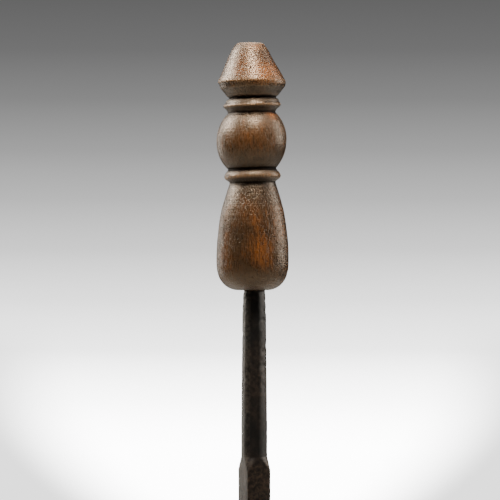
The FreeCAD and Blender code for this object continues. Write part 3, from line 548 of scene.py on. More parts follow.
class Blank:
    """A piece being shaped, in millimetres, about its own tool's axis."""

    def __init__(self, name: str) -> None:
        """Start with nothing.

        Args:
            name: The piece's name.
        """
        self.name = name
        self.mesh = bmesh.new()

    def lathe(self, outline: Outline, steps: int, closed: bool = False) -> None:
        """Spin an outline about the upright axis.

        Args:
            outline: Points, each (radius, height).
            steps: How many steps make the full turn.
            closed: Whether the outline's last point joins its first, as in a ring.
        """
        verts = [self.mesh.verts.new((radius, 0, height)) for radius, height in outline]
        ends = verts[1:] + verts[:1] if closed else verts[1:]
        edges = [self.mesh.edges.new(pair) for pair in zip(verts, ends)]
        bmesh.ops.spin(self.mesh, geom=verts + edges, cent=(0, 0, 0), axis=UP, dvec=(0, 0, 0),
                       angle=2 * math.pi, steps=steps, use_merge=True)
        bmesh.ops.remove_doubles(self.mesh, verts=self.mesh.verts[:], dist=1e-3)

    def sweep(self, rings: Sequence[Ring]) -> None:
        """Draw a bar through cross-sections, from end to end, and cap its ends."""
        verts = [self.mesh.verts.new(corner) for corner in rings[0].corners()]
        edges = [self.mesh.edges.new((a, b)) for a, b in zip(verts, verts[1:] + verts[:1])]
        self.mesh.faces.new(reversed(verts))
        for ring in rings[1:]:
            grown = bmesh.ops.extrude_edge_only(self.mesh, edges=edges)["geom"]
            verts = [
                next(edge.other_vert(old) for edge in old.link_edges
                     if edge.other_vert(old) in grown)
                for old in verts
            ]
            for vert, corner in zip(verts, ring.corners()):
                vert.co = corner
            edges = [self.mesh.edges.get((a, b)) for a, b in zip(verts, verts[1:] + verts[:1])]
        self.mesh.faces.new(verts)

    def plate(self, outline: Outline, thickness: float) -> None:
        """Cut a level plate, half its thickness above and half below zero."""
        verts = [self.mesh.verts.new((x, y, -thickness / 2)) for x, y in outline]
        face = self.mesh.faces.new(verts)
        grown = bmesh.ops.extrude_face_region(self.mesh, geom=[face])["geom"]
        lifted = [item for item in grown if isinstance(item, bmesh.types.BMVert)]
        bmesh.ops.translate(self.mesh, verts=lifted, vec=(0, 0, thickness))

    def dome(self, radius: float, height: float) -> None:
        """Raise a rivet head on the level plane."""
        outline = [(0.0, -0.3), (radius * 0.96, -0.3), (radius, height * 0.12)]
        for index in range(1, 6):
            turn = math.pi / 2 * index / 5
            outline.append((radius * math.cos(turn), height * (0.12 + 0.88 * math.sin(turn))))
        outline[-1] = (0.0, outline[-1][1])
        self.lathe(outline, 20)

    def rod(self, radius: float, length: float, matrix: Matrix, segments: int) -> None:
        """Add a round rod about its own middle, along its own Z."""
        bmesh.ops.create_cone(self.mesh, cap_ends=True, segments=segments, radius1=radius,
                              radius2=radius, depth=length, matrix=matrix)

    def place(self, matrix: Matrix) -> None:
        """Move and turn all there is so far."""
        bmesh.ops.transform(self.mesh, matrix=matrix, verts=self.mesh.verts[:])

    def face_outwards(self) -> None:
        """Point every face outwards."""
        bmesh.ops.recalc_face_normals(self.mesh, faces=self.mesh.faces[:])

    def as_object(self) -> bpy.types.Object:
        """Make an object of what there is so far."""
        mesh = bpy.data.meshes.new(self.name)
        self.mesh.to_mesh(mesh)
        item = bpy.data.objects.new(self.name, mesh)
        bpy.context.scene.collection.objects.link(item)
        return item

    def take(self, other: "Blank") -> None:
        """Add another blank's mesh to this one, and use that blank up."""
        holder = bpy.data.meshes.new("holder")
        other.mesh.to_mesh(holder)
        other.mesh.free()
        self.mesh.from_mesh(holder)
        bpy.data.meshes.remove(holder)

    def forge(self, voxel: float, smoothing: int) -> None:
        """Weld the blank's overlapping shells into one skin with soft edges.

        Args:
            voxel: Size of the skin's faces.
            smoothing: How many times the skin is smoothed.
        """
        self.face_outwards()
        item = self.as_object()
        shells = item.data
        skin = item.modifiers.new("skin", "REMESH")
        skin.mode = "VOXEL"
        skin.voxel_size = voxel
        bpy.context.view_layer.update()
        evaluated = item.evaluated_get(bpy.context.evaluated_depsgraph_get())
        made = bpy.data.meshes.new_from_object(evaluated)
        self.mesh.clear()
        self.mesh.from_mesh(made)
        bpy.data.objects.remove(item)
        bpy.data.meshes.remove(shells)
        bpy.data.meshes.remove(made)
        for _ in range(smoothing):
            bmesh.ops.smooth_vert(self.mesh, verts=self.mesh.verts[:], factor=0.5,
                                  use_axis_x=True, use_axis_y=True, use_axis_z=True)

    def press(self, depth: Callable[[Vector], float]) -> None:
        """Move every point along its normal.

        Args:
            depth: How far a point moves outwards, in millimetres.
        """
        self.mesh.normal_update()
        moves = [(vert, vert.normal.copy() * depth(vert.co)) for vert in self.mesh.verts]
        for vert, move in moves:
            vert.co += move

    def hammer(self, depth: float, spacing: float, seed: float) -> None:
        """Leave shallow hammer blows and a scaled skin.

        Args:
            depth: Depth of a blow.
            spacing: Distance between blows.
            seed: Where in the noise the blows start.
        """
        start = Vector((seed * 7.3, seed * 3.1, seed * 11.7))

        def blow(point: Vector) -> float:
            """Give the depth at a point, deepest in the middle of a blow."""
            place = point / spacing + start
            nearest = noise.voronoi(place)[0][0]
            rough = noise.fractal(place * 4.0, 1.0, 2.1, 3)
            return depth * (min(nearest, 1.0) - 0.55 + 0.10 * rough)

        self.press(blow)

    def mark_relief(self, blur: int, gain: float) -> None:
        """Store how far each point stands out of its surroundings.

        Args:
            blur: How many times the values are averaged with their neighbours.
            gain: Strength of the values, which lie about 0.5.
        """
        layer = self.mesh.verts.layers.float.new("relief")
        self.mesh.normal_update()
        self.mesh.verts.index_update()
        points = [vert.co.copy() for vert in self.mesh.verts]
        near = [[edge.other_vert(vert).index for edge in vert.link_edges]
                for vert in self.mesh.verts]
        values = []
        for vert, others in zip(self.mesh.verts, near):
            reach = sum((points[index] for index in others), Vector()) / max(len(others), 1)
            size = sum(edge.calc_length() for edge in vert.link_edges) / max(len(others), 1)
            values.append((vert.co - reach).dot(vert.normal) / max(size, 1e-6))
        for _ in range(blur):
            values = [
                (value + sum(values[index] for index in others)) / (len(others) + 1)
                for value, others in zip(values, near)
            ]
        for vert, value in zip(self.mesh.verts, values):
            vert[layer] = min(max(0.5 + value * gain, 0.0), 1.0)

    def finish(self, finish: Finish, matrix: Matrix, body: str, *nodes: str,
               blur: int = 2, gain: float = 1.6, relief: bool = True) -> bpy.types.Object:
        """Put the piece in its place and hand it to the frame.

        Args:
            finish: What it is made of.
            matrix: From the piece's millimetres to the row's metres.
            body: The body that it rides on.
            *nodes: CAD nodes that it stands for.
            blur: Passed to mark_relief.
            gain: Passed to mark_relief.
            relief: Whether the finish reads the relief.

        Returns:
            The piece's object.
        """
        bmesh.ops.remove_doubles(self.mesh, verts=self.mesh.verts[:], dist=1e-4)
        self.face_outwards()
        if relief:
            self.mark_relief(blur, gain)
        self.place(matrix)
        for face in self.mesh.faces:
            face.smooth = True
        item = self.as_object()
        self.mesh.free()
        item.data.materials.append(MATERIALS[finish.name])
        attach(item, body)
        if nodes:
            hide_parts(*nodes)
        LOG.info("%s: %d faces on %s", self.name, len(item.data.polygons), body)
        return item


class Hanger(Enum):
    """Where a tool hangs; the value is its turn about the post in degrees."""

    RIGHT = 0.0
    BACK = 90.0
    LEFT = 180.0
    FRONT = 270.0


def tool_matrix(handle: str, turn: float) -> Matrix:
    """Give the way from a tool's own millimetres to the row's metres.

    Args:
        handle: The CAD node of the tool's handle.
        turn: The tool's turn about the post, in degrees.

    Returns:
        The matrix, with its zero at the handle's foot and X pointing outwards.
    """
    low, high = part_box(handle)
    place = Matrix.Translation(((low.x + high.x) / 2, (low.y + high.y) / 2, low.z))
    return place @ Matrix.Rotation(math.radians(turn), 4, "Z") @ Matrix.Scale(METRE, 4)


# ---------------------------------------------------------------------------
# Turned handle
# ---------------------------------------------------------------------------
@dataclass
class Handle:
    """Turned handle: vase grip, V ring, ball, V ring and a cone with a worn rim.

    Attributes:
        node: The CAD node that it stands for.
        body: The body that it rides on.
        turn: The tool's turn about the post.
        seed: Where its irregularities start.
        lean: How much one side of the rings sits higher, in mm per mm.
        lean_azimuth: The side that sits higher.
        offset: How far the handle sits off its stem, towards lean_azimuth.
        bow: How far the cone has warped towards lean_azimuth.
        sag: How far the ball has.
        spots: Rubbed places, or dark ones if their strength is below nothing, which are dirt and
            painted shadow, each (azimuth, height, half width, half height, strength).
        steps: Steps round the handle.
        grain_step: Distance between the points of the profile.
        pocket_radius: Radius of the recess for the washer.
        crown: Height of the flat top's inner edge.
        pocket_foot: Height of the recess's floor.
        bore_radius: Radius of the hole for the tang.
    """

    node: str
    body: str
    turn: float = 0.0
    seed: float = 0.0
    lean: float = 0.018
    lean_azimuth: float = 0.0
    offset: float = 0.0
    bow: float = 0.0
    sag: float = 0.0
    spots: Sequence[tuple[float, float, float, float, float]] = ()
    steps: int = 96
    grain_step: float = 0.75
    pocket_radius: float = 4.3
    crown: float = 114.3
    pocket_foot: float = 110.5
    bore_radius: float = 3.1

    def outline(self) -> list[tuple[float, float]]:
        """Give the profile from the bore at the foot round to the bore at the crown."""
        step = self.grain_step
        grip = smooth_through([
            (7.0, 0.0), (8.6, 0.2), (10.7, 0.9), (12.6, 2.1), (14.2, 3.8), (15.5, 6.0),
            (16.35, 8.9), (16.7, 12.4), (16.7, 17.5), (16.4, 22.5), (15.85, 27.5), (15.3, 32.0),
            (14.4, 37.0), (13.25, 41.3), (12.1, 45.0), (11.15, 48.0), (10.7, 49.6),
        ], step)
        lower_ring = smooth_through([
            (10.7, 50.1), (11.6, 50.9), (12.6, 51.6), (13.0, 52.4), (12.95, 53.2), (12.3, 54.5),
            (11.5, 55.3)], 0.4)
        ball = []
        for index in range(41):
            turn = math.radians(-47.0 + 94.0 * index / 40)
            ball.append((16.25 * math.cos(turn), 69.1 + 17.6 * math.sin(turn)))
        upper_ring = smooth_through([
            (11.0, 82.5), (11.4, 83.3), (12.3, 84.2), (13.2, 85.1), (13.3, 85.7), (12.7, 86.6),
            (12.1, 87.8), (11.8, 88.3)], 0.4)
        throat = smooth_through([
            (10.9, 88.7), (10.9, 89.2), (11.9, 90.0), (12.8, 91.2), (13.9, 92.6), (14.95, 94.0)],
            0.5)
        rim = smooth_through([(14.95, 94.0), (15.25, 95.0), (15.5, 96.1), (15.58, 96.7)], 0.4)
        cone = smooth_through([
            (15.58, 96.7), (15.35, 97.2), (14.75, 98.4), (13.05, 101.8), (10.65, 106.6),
            (8.3, 111.2), (6.6, 113.6),
        ], step)
        crown = smooth_through([(6.6, 113.6), (6.0, 114.15), (5.2, 114.4), (4.6, 114.45)], 0.4)
        pocket = join_stretches(
            straight_to((self.pocket_radius, self.crown), (self.pocket_radius, self.pocket_foot),
                        1.0),
            [(self.bore_radius, self.pocket_foot)],
        )
        bore = straight_to((self.bore_radius, self.pocket_foot), (self.bore_radius, 0.0), 12.0)
        foot = straight_to((self.bore_radius, 0.0), (7.0, 0.0), 1.2)
        return join_stretches(foot, grip, lower_ring, ball, upper_ring, throat, rim, cone, crown,
                              pocket, bore[:-1])

    def wobble(self, point: Vector) -> Vector:
        """Move a point as a hand-turned, much used handle strays from a true one."""
        radius = math.hypot(point.x, point.y)
        if radius < self.pocket_radius + 0.3:
            return point
        way = heading(self.lean_azimuth)
        weight = ease(point.z, 40, 52) * (1 - ease(point.z, 97, 113))
        reach = point.x * way.x + point.y * way.y
        seed = Vector((self.seed * 5.1, self.seed * 2.7, self.seed * 9.3))
        oval = 0.10 * noise.noise(Vector((point.x / 30, point.y / 30, point.z / 9)) + seed)
        turned = 0.035 * noise.noise(Vector((0.0, 0.0, point.z / 0.9)) + seed)
        dent = noise.noise(point / 4.6 + seed * 1.7)
        dent_depth = -0.28 * max(0.0, dent - 0.34)
        share = (radius + oval + turned + dent_depth) / radius
        bow = self.bow * (0.5 * ease(point.z, 95.0, 97.5) + 0.5 * ease(point.z, 98.0, 109.0))
        bow += self.sag * ease(point.z, 52.0, 60.0) * (1 - ease(point.z, 82.0, 90.0))
        return Vector((point.x * share + bow * way.x, point.y * share + bow * way.y,
                       point.z + self.lean * reach * weight))

    def chip(self, blank: Blank) -> None:
        """Knock small chips out of the sharp rings and the rim."""
        seed = Vector((self.seed * 3.3, 4.0, self.seed))
        for vert in blank.mesh.verts:
            near_edge = max(
                0.55 - 0.55 * abs(vert.co.z - 52.7) / 1.1,
                0.20 - 0.20 * abs(vert.co.z - 85.6),
                1 - abs(vert.co.z - 96.2) / 1.6,
            )
            if near_edge <= 0 or math.hypot(vert.co.x, vert.co.y) < 12:
                continue
            coarse = noise.noise(vert.co / 3.4 + seed)
            fine = noise.noise(vert.co / 1.1 + seed)
            bite = max(0.0, coarse * 0.9 + fine * 0.35 - 0.26) * near_edge
            share = 1 - min(bite, 0.6) * 1.1 / math.hypot(vert.co.x, vert.co.y)
            vert.co.x *= share
            vert.co.y *= share

    def mark_rub_and_shade(self, blank: Blank) -> None:
        """Store how rubbed each point is, less than nothing at the dark spots and, as painted
        shade, on faces that face down.
        """
        layer = blank.mesh.verts.layers.float.new("rub")
        blank.face_outwards()
        blank.mesh.normal_update()
        for vert in blank.mesh.verts:
            azimuth = math.degrees(math.atan2(vert.co.y, vert.co.x))
            radius = math.hypot(vert.co.x, vert.co.y)
            value = 0.0
            for place, height, wide, tall, strength in self.spots:
                turn = (azimuth - place + 180) % 360 - 180
                across = math.radians(turn) * radius / wide
                up = (vert.co.z - height) / tall
                value += strength * math.exp(-across * across - up * up)
            # Faces that face down are marked darker: painted shade on the undersides.
            vert[layer] = value - 0.55 * max(0.0, -vert.normal.z - 0.10)

    def build(self) -> bpy.types.Object:
        """Turn the handle and put it on its stem."""
        blank = Blank(self.node.replace("_handle", "_turned_handle"))
        blank.lathe(self.outline(), self.steps, closed=True)
        self.mark_rub_and_shade(blank)
        for vert in blank.mesh.verts:
            vert.co = self.wobble(vert.co)
        self.chip(blank)
        blank.place(Matrix.Translation(heading(self.lean_azimuth) * self.offset))
        return blank.finish(WOOD, tool_matrix(self.node, self.turn), self.body, self.node,
                            blur=3, gain=3.0)


@dataclass
class PeenWasher:
    """Small washer under the peened end of a tang.

    Attributes:
        node: The CAD node that it stands for.
        body: The body that it rides on.
        handle: The handle that it lies in.
    """

    node: str
    body: str
    handle: str

    def build(self) -> bpy.types.Object:
        """Turn the washer with rounded edges."""
        low, high = box_mm(self.node)
        base, _ = box_mm(self.handle)
        foot, top = low.z - base.z, high.z - base.z
        outer = (high.x - low.x) / 2
        inner = outer - 1.0
        blank = Blank(self.node + "_ring")
        edge = (top - foot) * 0.3
        blank.lathe([
            (inner, foot), (outer - edge, foot), (outer, foot + edge), (outer, top - edge),
            (outer - edge, top), (inner, top),
        ], 40, closed=True)
        blank.press(lambda point: 0.04 * noise.noise(point * 0.9))
        return blank.finish(RIVET, tool_matrix(self.handle, 0.0), self.body, self.node)


# ---------------------------------------------------------------------------
# Forged bars
# ---------------------------------------------------------------------------
@dataclass
class Stem:
    """Eight-sided stem under a handle that returns to a square bar.

    Attributes:
        side: Side of the square bar.
        swell: Drops at which the stem's swelling starts and ends.
        stops: Drops at which the stop chamfers start and end.
        end: Drop of the bar's lower end.
        seed: Where the hammer blows start.
        step: Distance between sections.
        octagon: How much is cut off each corner of the stem, as shares of its side.
        square_cut: The same for the square bar, at every corner.
        soft: How far the stem's arrises are rounded, on an 11 mm bar.
        tang_radius: Radius of the tang in the handle.
        peen_foot: Height of the tang's spread end.
        peen_radius: Its radius.
        blow_depth: Depth of the hammer blows.
    """

    side: float
    swell: tuple[float, float]
    stops: tuple[float, float]
    end: float
    seed: float = 0.0
    step: float = 0.8
    octagon: tuple[tuple[float, float], ...] = ((0.2929, 0.2929),) * 4
    square_cut: float = 0.03
    soft: float = 0.9
    tang_radius: float = 3.0
    peen_foot: float = 111.5
    peen_radius: float = 3.8
    blow_depth: float = 0.11

    def share(self, drop: float) -> float:
        """Give the stem's width at a drop, as a share of the bar's side."""
        neck = 0.82 + 0.05 * ease(drop, 0, 4) + 0.035 * ease(drop, 3, 9)
        low, high = self.swell
        return neck + 0.095 * min(max((drop - low) / (high - low), 0.0), 1.0)

    def ring(self, drop: float) -> Ring:
        """Give the section at a drop."""
        wide = self.side * self.share(drop)
        flow = min(max((drop - self.stops[0]) / (self.stops[1] - self.stops[0]), 0.0), 1.0)
        cuts = [tuple(wide * (cut + (self.square_cut - cut) * flow) for cut in corner)
                for corner in self.octagon]
        stray = 0.10 * noise.noise(Vector((drop / 34, self.seed * 3.7, 1.0)))
        sway = 0.10 * noise.noise(Vector((drop / 41, self.seed * 2.1, 5.0)))
        fade = ease(drop, 0, 25) * (1 - ease(drop, self.end - 25, self.end))
        uneven = 0.012 * noise.noise(Vector((drop / 15, self.seed, 9.0)))
        return Ring(Vector((stray * fade, sway * fade, -drop)),
                    (wide / 2 * (1 + uneven), wide / 2 * (1 - uneven)), cuts,
                    soft=(self.soft + (0.3 - self.soft) * flow) * self.side / 11)

    def drops(self, end: float) -> list[float]:
        """List the drops of the bar's sections."""
        shown = min(end, self.stops[1] + 25.0)
        upper = straight_to((0.0, 0.0), (shown, 0.0), self.step)
        lower = straight_to((shown, 0.0), (end, 0.0), 3 * self.step)
        return sorted({round(drop, 3) for drop, _ in upper + lower} | set(self.stops))

    def draw(self, blank: Blank) -> None:
        """Draw the stem and bar into a blank, hammered, with the tang above it."""
        bar = Blank("bar")
        bar.sweep([self.ring(drop) for drop in self.drops(self.end)])
        bar.face_outwards()
        bar.hammer(self.blow_depth, 5.2, self.seed)
        start = Vector((self.seed, 2.0, 7.0))
        bar.press(lambda point: -0.6 * max(0.0, noise.noise(point / 1.9 + start) - 0.10)
                  * (1 - 0.85 * ease(-point.z, 5, 62)) * (1 - ease(-point.z, 62, 76)))
        layer = bar.mesh.verts.layers.float.new("fire_scale")
        for vert in bar.mesh.verts:
            vert[layer] = ease(-vert.co.z, *self.stops)
        blank.take(bar)
        blank.take(self.tang())

    def tang(self) -> Blank:
        """Make the round tang with its peened end."""
        tang = Blank("tang")
        outline = join_stretches(
            [(0.0, -1.0)], [(self.tang_radius, -1.0)],
            straight_to((self.tang_radius, -1.0), (self.tang_radius, self.peen_foot), 8.0),
            smooth_through([
                (self.peen_radius, self.peen_foot), (self.peen_radius, self.peen_foot + 0.7),
                (self.peen_radius * 0.72, self.peen_foot + 1.6), (0.0, self.peen_foot + 2.0),
            ], 0.6),
        )
        tang.lathe(outline, 28)
        for vert in tang.mesh.verts:
            if vert.co.z > self.peen_foot:
                blow = noise.noise(vert.co * 0.5 + Vector((self.seed, 0, 0)))
                vert.co.z += 0.22 * blow * (1 if vert.co.z > self.peen_foot + 0.5 else 0)
        return tang


TOOL_STEM = dict(side=8.6, swell=(38.0, 48.0), stops=(60.0, 66.0))


@dataclass
class Rivets:
    """Hammered rivets that stand for a group of CAD rivets.

    Attributes:
        node: The CAD node of the group.
        body: The body that it rides on.
        handle: The handle whose foot is the heights' zero.
        turn: The tool's turn about the post.
        heads: Centre, outward direction, radius and height of every head.
        shanks: Ends and radius of every shank.
    """

    node: str
    body: str
    handle: str
    turn: float
    heads: list[tuple[Vector, Vector, float, float]]
    shanks: list[tuple[Vector, Vector, float]]

    def build(self) -> bpy.types.Object:
        """Set the rivets."""
        blank = Blank(self.node + "_set")
        for order, (centre, outward, radius, height) in enumerate(self.heads):
            part = Blank("head")
            part.dome(radius, height)
            seed = Vector((order * 3.7, 1.0, 2.0))
            part.press(lambda point: 0.16 * noise.noise(point / 1.9 + seed))
            part.place(facing(centre, outward))
            blank.take(part)
        for start, end, radius in self.shanks:
            blank.rod(radius, (end - start).length, facing((start + end) / 2, end - start), 16)
        return blank.finish(RIVET, tool_matrix(self.handle, self.turn), self.body, self.node)


# ---------------------------------------------------------------------------
# Stand
# ---------------------------------------------------------------------------
@dataclass
class Stand:
    """Moulded cast base on bun feet, forged post, hook arms and carrying handle.

    Attributes:
        body: The body that it rides on.
        handle: The carrying handle, whose foot is the drops' zero.
        post_side: Side of the square post.
        post_octagon: What is cut off each corner of its stem, as shares of its side.
        arm_bend: Outer radius of the arms' quarter bend.
        strap: Width and thickness of the arms.
        lip: How far the tines' tips rise.
        rivet_drop_step: Distance between two rivets.
        handle_spots: The handle's rubbed places and its dark ones, which are dirt and painted
            shadow, with 0 degrees in front.
    """

    body: str = "stand"
    handle: str = "post_handle"
    post_side: float = 11.1
    post_octagon: tuple[tuple[float, float], ...] = (
        (0.27, 0.24), (0.24, 0.26), (0.40, 0.20), (0.44, 0.25))
    arm_bend: float = 26.0
    strap: tuple[float, float] = (10.6, 4.0)
    lip: float = 3.0
    rivet_drop_step: float = 6.5
    handle_spots: tuple[tuple[float, float, float, float, float], ...] = (
        (14.0, 17.0, 4.6, 9.0, 0.95), (-8.0, 36.0, 6.0, 6.0, 0.25), (58.0, 32.0, 5.0, 10.0, 0.25),
        (2.0, 70.0, 9.0, 5.0, 0.35), (48.0, 80.5, 2.6, 2.4, 1.2), (30.0, 100.0, 8.0, 4.0, 1.0),
        (0.0, 103.0, 14.0, 7.0, 0.45),
        # Strengths below nothing: the bands round the necks under the cone's rim, under the ball
        # and below the lower ring are painted shadow; the patches low on the grip and the ball are
        # painted shade with dirt.
        (16.0, 112.0, 3.0, 2.0, 1.0), (-50.0, 14.0, 4.0, 9.0, 0.25), (-5.0, 50.2, 8.0, 2.2, -1.4),
        (5.0, 8.0, 9.0, 4.0, -0.35), (0.0, 59.0, 12.0, 2.5, -0.3),
        (0.0, 88.4, 40.0, 1.1, -0.9), (0.0, 55.0, 40.0, 0.8, -0.7),
    )

    def build(self) -> None:
        """Build every piece of the stand."""
        right = VIEW_AZIMUTH
        Handle(self.handle, self.body, seed=1.0, lean=0.030, lean_azimuth=right,
               offset=-0.78, bow=-1.2, sag=-0.45, spots=[
                   (right - 90 + azimuth, height, wide, tall, strength)
                   for azimuth, height, wide, tall, strength in self.handle_spots
               ]).build()
        PeenWasher("post_washer", self.body, self.handle).build()
        self.build_post()
        self.build_base()
        for name in ("back_right", "back_left", "front_left", "front_right"):
            self.build_foot("base_foot_" + name)
        self.build_base_fastening()
        for hanger in Hanger:
            self.build_arm(hanger)
        self.build_rack_rivets()

    def build_post(self) -> bpy.types.Object:
        """Forge the post, down to its tenon in the base."""
        seat = drop_below(self.handle, "base_casting", top=True)
        tenon_end = drop_below(self.handle, "post")
        blank = Blank("post_forging")
        stem = Stem(self.post_side * 1.04, (6.0, 62.0), (77.0, 83.0), seat, seed=2.0,
                    octagon=self.post_octagon, soft=1.6)
        stem.draw(blank)
        tenon = Blank("tenon")
        tenon.lathe([(0.0, -seat + 1), (4.0, -seat + 1), (4.0, -tenon_end + 0.8),
                     (3.2, -tenon_end), (0.0, -tenon_end)], 28)
        blank.take(tenon)
        return blank.finish(FORGED, tool_matrix(self.handle, 0.0), self.body, "post", gain=1.2)

    def build_base(self) -> bpy.types.Object:
        """Cast the base: rim, bead, cove, sloping field and boss."""
        low, high = box_mm("base_casting")
        rim = (high.x - low.x) / 2
        foot, top = low.z, high.z
        bore, nut_pocket = 4.3, 17.0
        outline = join_stretches(
            [(bore, foot + 14)],
            straight_to((nut_pocket, foot + 14), (nut_pocket, foot), 3.0),
            straight_to((nut_pocket, foot), (rim - 2.2, foot), 3.0),
            smooth_through([(rim - 2.2, foot), (rim - 0.4, foot + 1.0), (rim, foot + 3.4),
                            (rim - 0.1, foot + 6.2), (rim - 1.5, foot + 9.4),
                            (rim - 4.6, foot + 11.0)], 0.8),
            straight_to((rim - 4.9, foot + 11.1), (rim - 7.4, foot + 11.15), 0.8),
            smooth_through([(rim - 7.7, foot + 11.3), (rim - 8.2, foot + 12.6),
                            (rim - 9.6, foot + 14.0), (rim - 11.5, foot + 14.5)], 0.7),
            smooth_through([(rim - 12.0, foot + 14.2), (rim - 20.0, foot + 14.9),
                            (rim - 45.0, foot + 16.9), (rim - 70.0, foot + 18.7),
                            (36.0, foot + 19.9), (30.0, foot + 21.6), (27.0, foot + 23.4)], 1.6),
            smooth_through([(27.0, foot + 23.4), (26.2, foot + 25.0), (24.4, foot + 26.0),
                            (22.9, foot + 26.2)], 0.7),
            smooth_through([(22.6, foot + 26.4), (21.0, foot + 27.4), (20.2, foot + 29.6),
                            (19.6, foot + 31.8), (18.0, foot + 33.4), (15.6, top)], 0.8),
            straight_to((15.2, top), (bore, top), 1.6),
        )
        blank = Blank("base_plate")
        blank.lathe(outline, 168, closed=True)
        blank.press(lambda point: 0.10 * noise.noise(point / 6.0) + 0.07 * noise.noise(point / 1.7))
        return blank.finish(CAST, Matrix.Scale(METRE, 4), self.body, "base_casting",
                            blur=3, gain=2.4)

    def build_foot(self, node: str) -> bpy.types.Object:
        """Cast a bun foot."""
        low, high = box_mm(node)
        wide = (high.x - low.x) / 2
        tall = box_mm("base_casting")[0].z
        outline = join_stretches(
            straight_to((0.0, 0.0), (wide * 0.66, 0.0), 1.5),
            smooth_through([(wide * 0.66, 0.0), (wide * 0.90, tall * 0.16), (wide, tall * 0.46),
                            (wide * 0.92, tall * 0.78), (wide * 0.74, tall * 0.93)], 0.7),
            [(wide * 0.70, tall)], [(3.0, tall)], [(3.0, high.z)], [(0.0, high.z)],
        )
        blank = Blank(node + "_bun")
        blank.lathe(outline, 48)
        centre = Vector(((low.x + high.x) / 2, (low.y + high.y) / 2, 0.0))
        blank.press(lambda point: 0.07 * noise.noise((point + centre) / 2.6)
                    * ease(point.z, 0.0, 1.5))
        matrix = Matrix.Scale(METRE, 4) @ Matrix.Translation(centre)
        return blank.finish(CAST, matrix, self.body, node, blur=3, gain=2.4)

    def build_base_fastening(self) -> None:
        """Make the washer and the square nut under the base."""
        low, high = box_mm("base_washer")
        wide = (high.x - low.x) / 2
        washer = Blank("base_washer_ring")
        washer.lathe([(4.3, low.z), (wide - 0.5, low.z), (wide, low.z + 0.5), (wide, high.z - 0.5),
                      (wide - 0.5, high.z), (4.3, high.z)], 44, closed=True)
        washer.press(lambda point: 0.06 * noise.noise(point / 2.4))
        washer.finish(RIVET, Matrix.Scale(METRE, 4), self.body, "base_washer")
        low, high = box_mm("base_nut")
        half = (high.x - low.x) / 2 / math.sqrt(2)
        nut = Blank("base_nut_block")
        nut.plate([(half, half), (-half, half), (-half, -half), (half, -half)], high.z - low.z)
        nut.place(Matrix.Translation(UP * ((low.z + high.z) / 2))
                  @ Matrix.Rotation(math.pi / 4, 4, "Z"))
        nut.forge(0.5, 2)
        nut.hammer(0.08, 3.0, 4.0)
        nut.finish(RIVET, Matrix.Scale(METRE, 4), self.body, "base_nut")

    def build_arm(self, hanger: Hanger) -> bpy.types.Object:
        """Forge a hook arm: foot, quarter bend, neck and an open fork with curled lips."""
        node = "hook_arm_" + hanger.name.lower()
        low, high = box_mm(node)
        wide, thick = self.strap
        reach = max(abs(low.x), abs(high.x), abs(low.y), abs(high.y))
        top = high.z - self.lip
        bend = self.arm_bend
        blank = Blank(node + "_forging")
        middle = self.post_side / 2 + thick / 2
        rings = []
        for height in (low.z, low.z + 1.5, top - bend - 12, top - bend):
            thin, slim = (0.55, 0.92) if height == low.z else (1.0, 1)
            rings.append(Ring(Vector((middle, 0, height)), (wide / 2 * slim, thick / 2 * thin),
                              0.8, UP, ACROSS))
        for index in range(1, 13):
            turn = math.pi / 2 * index / 12
            radius = bend - thick / 2
            centre = Vector((self.post_side / 2 + bend - radius * math.cos(turn), 0,
                             top - bend + radius * math.sin(turn)))
            along = Vector((math.sin(turn), 0, math.cos(turn)))
            pinch = 1 - 0.20 * math.sin(turn) ** 2
            rings.append(Ring(centre, (wide / 2 * pinch, thick / 2), 0.8, along, ACROSS))
        hang = reach - 15.0
        rings.append(Ring(Vector((hang - 9, 0, top - thick / 2)), (wide / 2, thick / 2), 0.8, OUT,
                          ACROSS))
        blank.sweep(rings)
        for side in (-1, 1):
            blank.sweep(self.tine(side, hang, top - thick / 2))
        blank.forge(0.62, 3)
        blank.hammer(0.20, 6.0, hanger.value / 30 + 1)
        matrix = Matrix.Rotation(math.radians(hanger.value), 4, "Z") @ Matrix.Scale(METRE, 4)
        return blank.finish(FORGED, matrix, self.body, node, blur=2, gain=2.2)

    def tine(self, side: int, hang: float, level: float) -> list[Ring]:
        """Give the sections of one of a fork's two tines.

        Args:
            side: -1 or 1.
            hang: Distance of the hanging tool from the post's middle.
            level: Height of the tine's middle.
        """
        route = [
            Vector((hang + out, side * across, level + lift)) for across, out, lift in (
                (2.2, -14.5, 0.0), (5.2, -11.5, 0.0), (8.3, -7.0, 0.0), (9.5, -2.0, 0.0),
                (9.6, 4.0, 0.0), (9.6, 9.5, 0.0), (9.7, 12.2, 0.5), (9.9, 13.6, 2.0),
                (10.0, 14.0, 4.2),
            )
        ]
        slims = [1.0] * 6 + [0.95, 0.86, 0.72]
        sections = []
        for index, (point, slim) in enumerate(zip(route, slims)):
            along = (route[min(index + 1, len(route) - 1)] - route[max(index - 1, 0)]).normalized()
            flat = Vector((-along.y, along.x, 0.0)).normalized()
            sections.append(Ring(point, (3.45 * slim, self.strap[1] / 2 * slim), 0.7, along, flat))
        return sections

    def build_rack_rivets(self) -> bpy.types.Object:
        """Set the four rivets that go through the post and the arms' feet."""
        head = 3.9
        lowest = box_mm("rack_rivets")[0].z + head - box_mm(self.handle)[0].z
        reach = self.post_side / 2 + self.strap[1]
        heads = []
        shanks = []
        for order in range(4):
            way = (OUT, ACROSS)[order % 2]
            rise = UP * (lowest + self.rivet_drop_step * order)
            for side in (-1, 1):
                heads.append((rise + way * side * (reach - 0.15), way * side, head, 2.3))
            shanks.append((rise - way * reach, rise + way * reach, 2.0))
        return Rivets("rack_rivets", self.body, self.handle, 0.0, heads, shanks).build()


